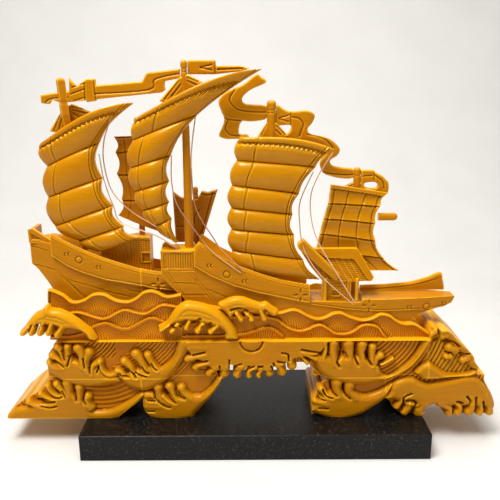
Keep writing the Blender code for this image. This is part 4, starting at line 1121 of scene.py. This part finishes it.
def ribbon(name, nodes, outline, folds, face_at, thick, holes=(), curved=False, paint=None, depth=1.6, round_over=2.2):
    """A thin carved board: face_at gives Y of its front, folds are its cuts, holes go through."""
    line = bend(outline, 3, closed=True) if curved else np.array(list(outline) + [outline[0]], float)
    rings = [bend(hole, 3, closed=True) for hole in holes]

    def shape_at(x, z):
        return np.minimum.reduce([within(x, z, line)] + [-within(x, z, ring) for ring in rings])

    def front_at(x, z):
        near = np.clip(shape_at(x, z) / round_over, 0, 1)
        height = 1.3 * np.sqrt(1 - (1 - near) ** 2)
        for points, radius in folds:
            cut(height, x, z, points, radius, depth)
        return face_at(x, z) + 1.3 - height
    low, high = line.min(0), line.max(0)
    board = carve(low, high, 0.85, shape_at, front_at, lambda x, z: face_at(x, z) + thick)
    place_piece(name, board, paint or amber_boxwood, nodes)


GUSSETS = (
    ("rear_mast_gusset", [(-215, 395), (-232, 370), (-217, 366), (-184, 386), (-184, 391), (-204, 400)], 1.5,
     [([(-217, 392), (-227, 371)], 0.8), ([(-215, 390), (-221, 372)], 0.8), ([(-204, 397), (-189, 393)], 0.8),
      ([(-204, 394), (-187, 389)], 0.8), ([(-204, 390), (-194, 383)], 0.8)]),
    ("tall_mast_gusset", [(-81, 428), (-104, 403), (-97, 401), (-56, 418), (-56, 423), (-72, 431)], -13.5,
     [([(-82, 424), (-98, 405)], 0.8), ([(-80, 420), (-90, 408)], 0.8), ([(-72, 428), (-60, 423)], 0.8),
      ([(-72, 424), (-63, 420)], 0.8)]),
    ("middle_mast_gusset", [(15, 380), (4, 364), (9, 360), (34, 360), (38, 365), (25, 379)], -13.5,
     [([(14, 377), (8, 366)], 0.8), ([(25, 376), (35, 366)], 0.8), ([(25, 371), (30, 366)], 0.8)]),
    ("fore_mast_gusset", [(117, 311), (103, 304), (104, 299), (136, 295), (134, 300), (124, 310)], 0.5,
     [([(116, 308), (107, 303)], 0.7), ([(124, 306), (131, 299)], 0.7)]),
)
for name, outline, y, rays in GUSSETS:
    ribbon(name, [], outline, rays, lambda x, z, y=y: np.full(x.shape, float(y)), 4.0, depth=1.4)

# Sails
# Battened sails cut as rows of plump rolls, glossy and lit on top: a rope-edged rim along the head,
# one batten line near the luff and a doubled border along the hollow leech. The fore sail is flat.
gloss_boxwood = boxwood("gloss_amber_boxwood", ("#4f2300", "#bd7b00", "#efb012", "#b36a00"), 0.27, 0.25)
# Painted shade: a darker copy of the sail wood for the rear junk's sails, which stand in shadow behind the front ones.
shaded_boxwood = boxwood("painted_shade_boxwood", ("#3c1a00", "#a66200", "#cf8c08", "#8f4e00"), 0.45, 0.08)


def sail(name, node, left, right, y, belly, puff, scoop, rise, relief_at, paint, columns=110, rows=15, rim_rows=0,
         thick=4.0):
    """Lay a sail over the seams' left and right ends; relief_at raises the front of each band."""
    left, right = np.array(left, float), np.array(right, float)
    bands = len(left) - 1
    even = 0.5 - 0.5 * np.cos(math.pi * np.arange(rows) / rows)
    downs = np.concatenate([even + band for band in range(bands)] + [[bands]])
    if rim_rows:
        downs = np.concatenate([np.linspace(0, 0.32, rim_rows, endpoint=False), downs[downs >= 0.32]])
    sheet = bmesh.new()
    bmesh.ops.create_grid(sheet, x_segments=columns, y_segments=len(downs) - 1, size=0.5)
    shares = np.array([vertex.co[:2] for vertex in sheet.verts]) + 0.5
    across = shares[:, 0]
    down = downs[np.round(shares[:, 1] * (len(downs) - 1)).astype(int)]
    band = np.clip(np.floor(down - 1e-9), 0, bands - 1).astype(int)
    part = down - band
    start = left[band] + (left[band + 1] - left[band]) * part[:, None]
    end = right[band] + (right[band + 1] - right[band]) * part[:, None]
    swing = np.sin(math.pi * part)
    arch = 4 * across * (1 - across)
    crown = 4 * across ** 1.25 * (1 - across ** 1.25)
    x = start[:, 0] + (end - start)[:, 0] * across - puff * swing * (1 - across) ** 8 - scoop * swing * across ** 8
    z = start[:, 1] + (end - start)[:, 1] * across + rise * crown * (0.1 + 0.9 * np.clip(1 - down, 0, 1))
    width = np.hypot(*(end - start).T)
    edge = (left[band + 1] - left[band]) * (1 - across[:, None]) + (right[band + 1] - right[band]) * across[:, None]
    tall = np.abs(edge[:, 0] * (end - start)[:, 1] - edge[:, 1] * (end - start)[:, 0]) / width
    relief = relief_at(across * width, (1 - across) * width, part * tall, (1 - part) * tall, band)
    middle = y - belly * arch
    for vertex, spot in zip(sheet.verts, np.stack([x, middle - thick / 2 - relief, z], 1)):
        vertex.co = spot
    add_back(sheet, middle + thick / 2 - 0.4 * np.maximum(relief, 0))
    place_piece(name, sheet, paint, [node])


def rolls(depth, battens, border=9.0, rope=True):
    """Relief of a sail of plump rolls; battens are distances from the luff, one for each band."""
    def relief_at(from_luff, from_leech, from_top, from_foot, band):
        tall = from_top + from_foot
        share = from_top / tall
        share = np.where(band == 0, 0.28 + 0.72 * share, share) ** 0.86
        height = depth * np.sqrt(np.clip(1 - (2 * share - 1) ** 2, 0, 1))
        round_end = np.sqrt(np.clip(1 - (1 - np.clip(from_luff / (0.42 * tall), 0, 1)) ** 2, 0, 1))
        turned = np.clip((border - 1.5 - from_leech) / border, 0, 1)
        height *= (0.15 + 0.85 * round_end) * (1 - 0.55 * turned)
        batten = np.array(battens, float)[np.minimum(band, len(battens) - 1)]
        height -= 1.5 * np.exp(-((from_luff - batten - 1.5 * np.cos(math.pi * share)) / 0.85) ** 2)
        height -= 1.7 * np.exp(-((from_leech - border) / 0.9) ** 2)
        height -= 1.2 * np.exp(-((from_leech - 0.55 * border) / 0.7) ** 2)
        if rope:
            hem = 4.6 + 1.5 * np.abs(np.sin(math.pi * from_luff / 5.4))
            bead = 1.9 * np.sqrt(np.clip(1 - ((from_top - 2.4) / 2.6) ** 2, 0, 1))
            top = band == 0
            height = np.where(top & (from_top < hem), np.maximum(height * 0.75, 1.5) + bead, height)
            height = np.where(top, height - 2.4 * np.exp(-((from_top - hem - 0.9) / 1.0) ** 2), height)
        return height
    return relief_at


sail("rear_sail_rolls", "rear_sail",
     [(-241, 357), (-236, 331), (-238, 295), (-233, 261), (-207, 243), (-184, 229)],
     [(-133, 401), (-175, 357), (-174, 317), (-164, 285), (-153, 260), (-138, 246)],
     -2, 6, 6, 6.5, 9.5, rolls(7.5, (15, 12, 15, 17, 12), 10), gloss_boxwood, 130, 17, 20)
sail("tall_sail_rolls", "tall_sail",
     [(-127, 387), (-134, 361), (-139, 330), (-134, 304), (-127, 282), (-114, 264), (-93, 245)],
     [(9, 436), (-62, 388), (-93, 344), (-96, 315), (-97, 291), (-95, 272), (-88, 244)],
     -15.2, 8, 5, 4, 9, rolls(7.0, (26, 13, 9, 8, 7, 6), 6.0), gloss_boxwood, 170, 13, 22)
sail("middle_sail_rolls", "middle_sail",
     [(-15, 364), (-19, 338), (-25, 310), (-26, 284), (-26, 259), (-26, 234), (-16, 205)],
     [(89, 350), (69, 330), (51, 300), (44, 276), (46, 252), (57, 222), (77, 197)],
     -13.6, 4, 5, 4, 6, rolls(7.5, (20, 17, 16, 16, 18, 21), 7.5), gloss_boxwood, 124, 16, 18)


def panels(from_luff, from_leech, from_top, from_foot, band):
    """Relief of the fore sail: hollow panels between seams, margins and two upright lines."""
    width, tall = from_luff + from_leech, from_top + from_foot
    height = 2.6 - 2.6 * np.sin(math.pi * np.clip(from_top / tall, 0, 1)) ** 0.8
    height -= 2.8 * np.exp(-((from_top - 1.0) / 1.1) ** 2) * (band > 0)
    for share in (0.34, 0.66):
        height -= 1.5 * np.exp(-((from_luff - share * width) / 0.85) ** 2)
    for edge in (from_luff, from_leech):
        height -= 1.3 * np.exp(-((edge - 5.0) / 0.8) ** 2)
        height += 1.0 * np.exp(-((edge - 1.5) / 1.5) ** 2)
    hem = 3.6 + 0.9 * np.abs(np.sin(math.pi * from_luff / 4.2))
    top = band == 0
    height = np.where(top & (from_top < hem), 2.6, height)
    return np.where(top, height - 1.2 * np.exp(-((from_top - hem - 0.8) / 0.7) ** 2), height)


sail("fore_sail_panels", "fore_sail",
     [(88, 309), (86, 288), (81, 270), (77, 252), (73, 232), (100, 205)],
     [(153, 299), (146, 284), (141, 264), (142, 243), (152, 222), (171, 206)],
     -6, -2.5, 0, 2.5, 0, panels, gloss_boxwood, 84, 18, 10)


def slats(from_luff, from_leech, from_top, from_foot, band):
    """Relief of a sail in shade: plain bands with a deep seam above each."""
    height = 2.0 - 1.2 * np.sin(math.pi * from_top / (from_top + from_foot))
    height -= 2.4 * np.exp(-((from_top - 0.8) / 1.0) ** 2)
    return height - 1.0 * np.exp(-((from_luff - 12.0) / 0.8) ** 2)


sail("rear_inner_sail_slats", "rear_inner_sail",
     [(-161, 363), (-160, 345), (-160, 320), (-156, 290), (-161, 271)],
     [(-128, 364), (-122, 350), (-112, 320), (-108, 290), (-113, 251)],
     11, 3, -4, 0, 0, slats, shaded_boxwood, 50, 12)
ribbon("rear_fore_sail_wedges", ["rear_fore_sail"],
       [(-97, 298), (-88, 291), (-72, 287), (-67, 289), (-62, 298), (-55, 296.5), (-43, 300), (-60, 247), (-65, 235.5),
        (-95, 235.5)],
       [([(-62, 295), (-55, 293), (-47, 295)], 0.8), ([(-49, 296), (-60, 258), (-68, 237)], 0.8),
        ([(-96, 276), (-76, 273)], 0.8), ([(-96, 256), (-75, 254)], 0.8), ([(-80, 289), (-80, 237)], 0.8),
        ([(-66, 275), (-71, 268), (-72, 258)], 0.8)],
       lambda x, z: np.full(x.shape, 15.0), 4.5, paint=shaded_boxwood, round_over=1.5)

# Streamers
# Pennants fly from every mast head: thin ribbons with a wrinkled flag beside the post, a knot, and
# tails that wave on to the next mast, each with one long fold cut along it.
ribbon("rear_streamer", ["rear_pennant"],
       [(-236, 410), (-236, 401), (-227, 400), (-224, 405), (-216, 402), (-204, 402), (-186, 404), (-185, 402),
        (-175, 403), (-174, 405), (-101, 412), (-97, 415), (-98, 420), (-97, 424), (-80.6, 427), (-80.4, 437),
        (-117, 433), (-122, 424), (-174, 420), (-174, 427), (-184, 427), (-195, 419), (-203, 428), (-204, 414),
        (-222, 412)],
       [([(-232, 401), (-225, 406), (-206, 407)], 0.8), ([(-175, 411), (-115, 415), (-108, 426), (-81, 432)], 0.9),
        ([(-186, 427), (-187, 403)], 0.9), ([(-175.5, 427), (-175, 403)], 0.8), ([(-202, 411), (-187, 416)], 0.8),
        ([(-200, 418), (-187, 422)], 0.7), ([(-199, 404), (-187, 407)], 0.8)],
       lambda x, z: along_line(x, [(-236, -7), (-207, -7), (-82, -12.4)]), 5.0)
ribbon("tall_streamer", ["tall_pennant"],
       [(-72.2, 446), (-42, 446), (-41, 440), (-14, 440), (-4, 437), (-14, 434), (-42, 431), (-72.2, 431)],
       [([(-58, 438.5), (-46, 441)], 0.8), ([(-58, 438), (-46, 435.5)], 0.8), ([(-42, 446), (-42, 430)], 0.8),
        ([(-39, 436), (-12, 437)], 0.8)],
       lambda x, z: np.full(x.shape, -8.5), 5.0)
ribbon("loop_streamer", ["loop_pennant"],
       [(3, 431), (8, 428), (13, 425), (12, 421), (-4, 414), (-13, 405), (-8, 399), (14.3, 397), (14.3, 384),
        (6, 381), (-5, 380), (-14, 380), (-17, 367), (-8, 366), (-6, 362), (-19, 361), (-32, 361), (-39, 364),
        (-38, 369), (-35, 375), (-33, 383), (-36, 391), (-39, 403), (-29, 413), (-12, 420)],
       [([(-17, 420), (-26, 407), (-26, 401), (-19, 394), (-5, 391), (13, 390)], 0.9),
        ([(-29, 381), (-32, 373), (-27, 366), (-16, 364)], 0.8), ([(-36, 388), (-30, 383), (-15, 381)], 0.8)],
       lambda x, z: np.full(x.shape, -7.5), 5.0, curved=True)
ribbon("middle_streamer", ["middle_pennant"],
       [(25.2, 397), (31, 395), (40, 391), (58, 392), (66, 389), (68, 385), (65, 378), (60, 372), (64, 366),
        (82, 362), (93, 355), (98, 348), (95, 341), (87, 336), (90, 330), (103, 327), (115, 325), (115, 315),
        (100, 315), (88, 318), (79, 322), (75, 333), (79, 340), (82, 345), (78, 349), (56, 353), (46, 357),
        (34, 359), (25.2, 366)],
       [([(43, 385), (51, 383), (55, 377), (53, 370), (51, 364)], 0.9), ([(41, 391), (41, 377)], 0.8),
        ([(78, 324), (88, 321), (106, 319), (114, 319)], 0.8), ([(28, 384), (39, 387)], 0.7),
        ([(28, 383), (39, 380)], 0.7), ([(60, 366), (80, 360), (90, 350)], 0.7)],
       lambda x, z: along_line(x, [(25, -10.6), (60, -10.6), (114, 0.5)]), 5.0,
       holes=[[(25, 375), (33, 376), (41, 376), (41, 371), (36, 366), (27, 371)]], curved=True)
ribbon("fore_streamer", ["fore_pennant"],
       [(123.9, 324), (138, 324), (141, 321), (149, 317), (156, 310), (157, 303), (156, 296), (124, 298)],
       [([(140, 318), (149, 311), (151, 303)], 0.8), ([(127, 317), (137, 318)], 0.7), ([(139, 324), (139, 312)], 0.7)],
       lambda x, z: np.full(x.shape, 0.5), 5.0, holes=[[(129, 309), (139, 310), (144, 307), (142, 303), (132, 303), (128, 305)]])
pole = wrap(28, 44, lambda around, along: (
    144.4 + 22.6 * along,
    -6 + 3 * np.cos(2 * math.pi * around) * np.sqrt(np.clip(1 - np.clip((along - 0.82) / 0.18, 0, 1) ** 2, 0.02, 1)),
    270.5 + 4.5 * np.sin(2 * math.pi * around) * np.sqrt(np.clip(1 - np.clip((along - 0.82) / 0.18, 0, 1) ** 2, 0.02, 1))))
place_piece("fore_sail_spar", pole, amber_boxwood, ["fore_sail_pole"])

# Stays
# Six lengths of bright copper wire, bent by hand and glued in from the sails' edges to the decks. The
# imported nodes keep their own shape.
copper, tree, shader = new_material("drawn_copper_wire")
where = add_node(tree, "ShaderNodeTexCoord")
drawn = add_node(tree, "ShaderNodeTexNoise", [(where.outputs["Object"], "Vector")], Scale=900.0, Detail=2.0)
tone = add_node(tree, "ShaderNodeMix", [(drawn.outputs["Fac"], "Factor")], data_type="RGBA")
tone.inputs["A"].default_value = linear("#e3ab86")
tone.inputs["B"].default_value = linear("#f8d2b0")
tree.links.new(tone.outputs["Result"], shader.inputs["Base Color"])
shader.inputs["Metallic"].default_value = 1.0
shader.inputs["Roughness"].default_value = 0.34
lines = add_node(tree, "ShaderNodeBump", [(drawn.outputs["Fac"], "Height")], Strength=0.15, Distance=0.0001)
tree.links.new(lines.outputs["Normal"], shader.inputs["Normal"])
for name in ("rear_long", "rear_short", "tall_long", "tall_short", "middle_long", "middle_short"):
    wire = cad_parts["stay_" + name].data
    wire.materials.clear()
    wire.materials.append(copper)

# Sea bed
# The plain block of the same wood between the carved walls, seen only between them and from below.
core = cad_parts["sea_core"].data
core.materials.clear()
core.materials.append(amber_boxwood)

size = [[list(corner) for corner in CAD_BOX], [list(corner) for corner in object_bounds()]]
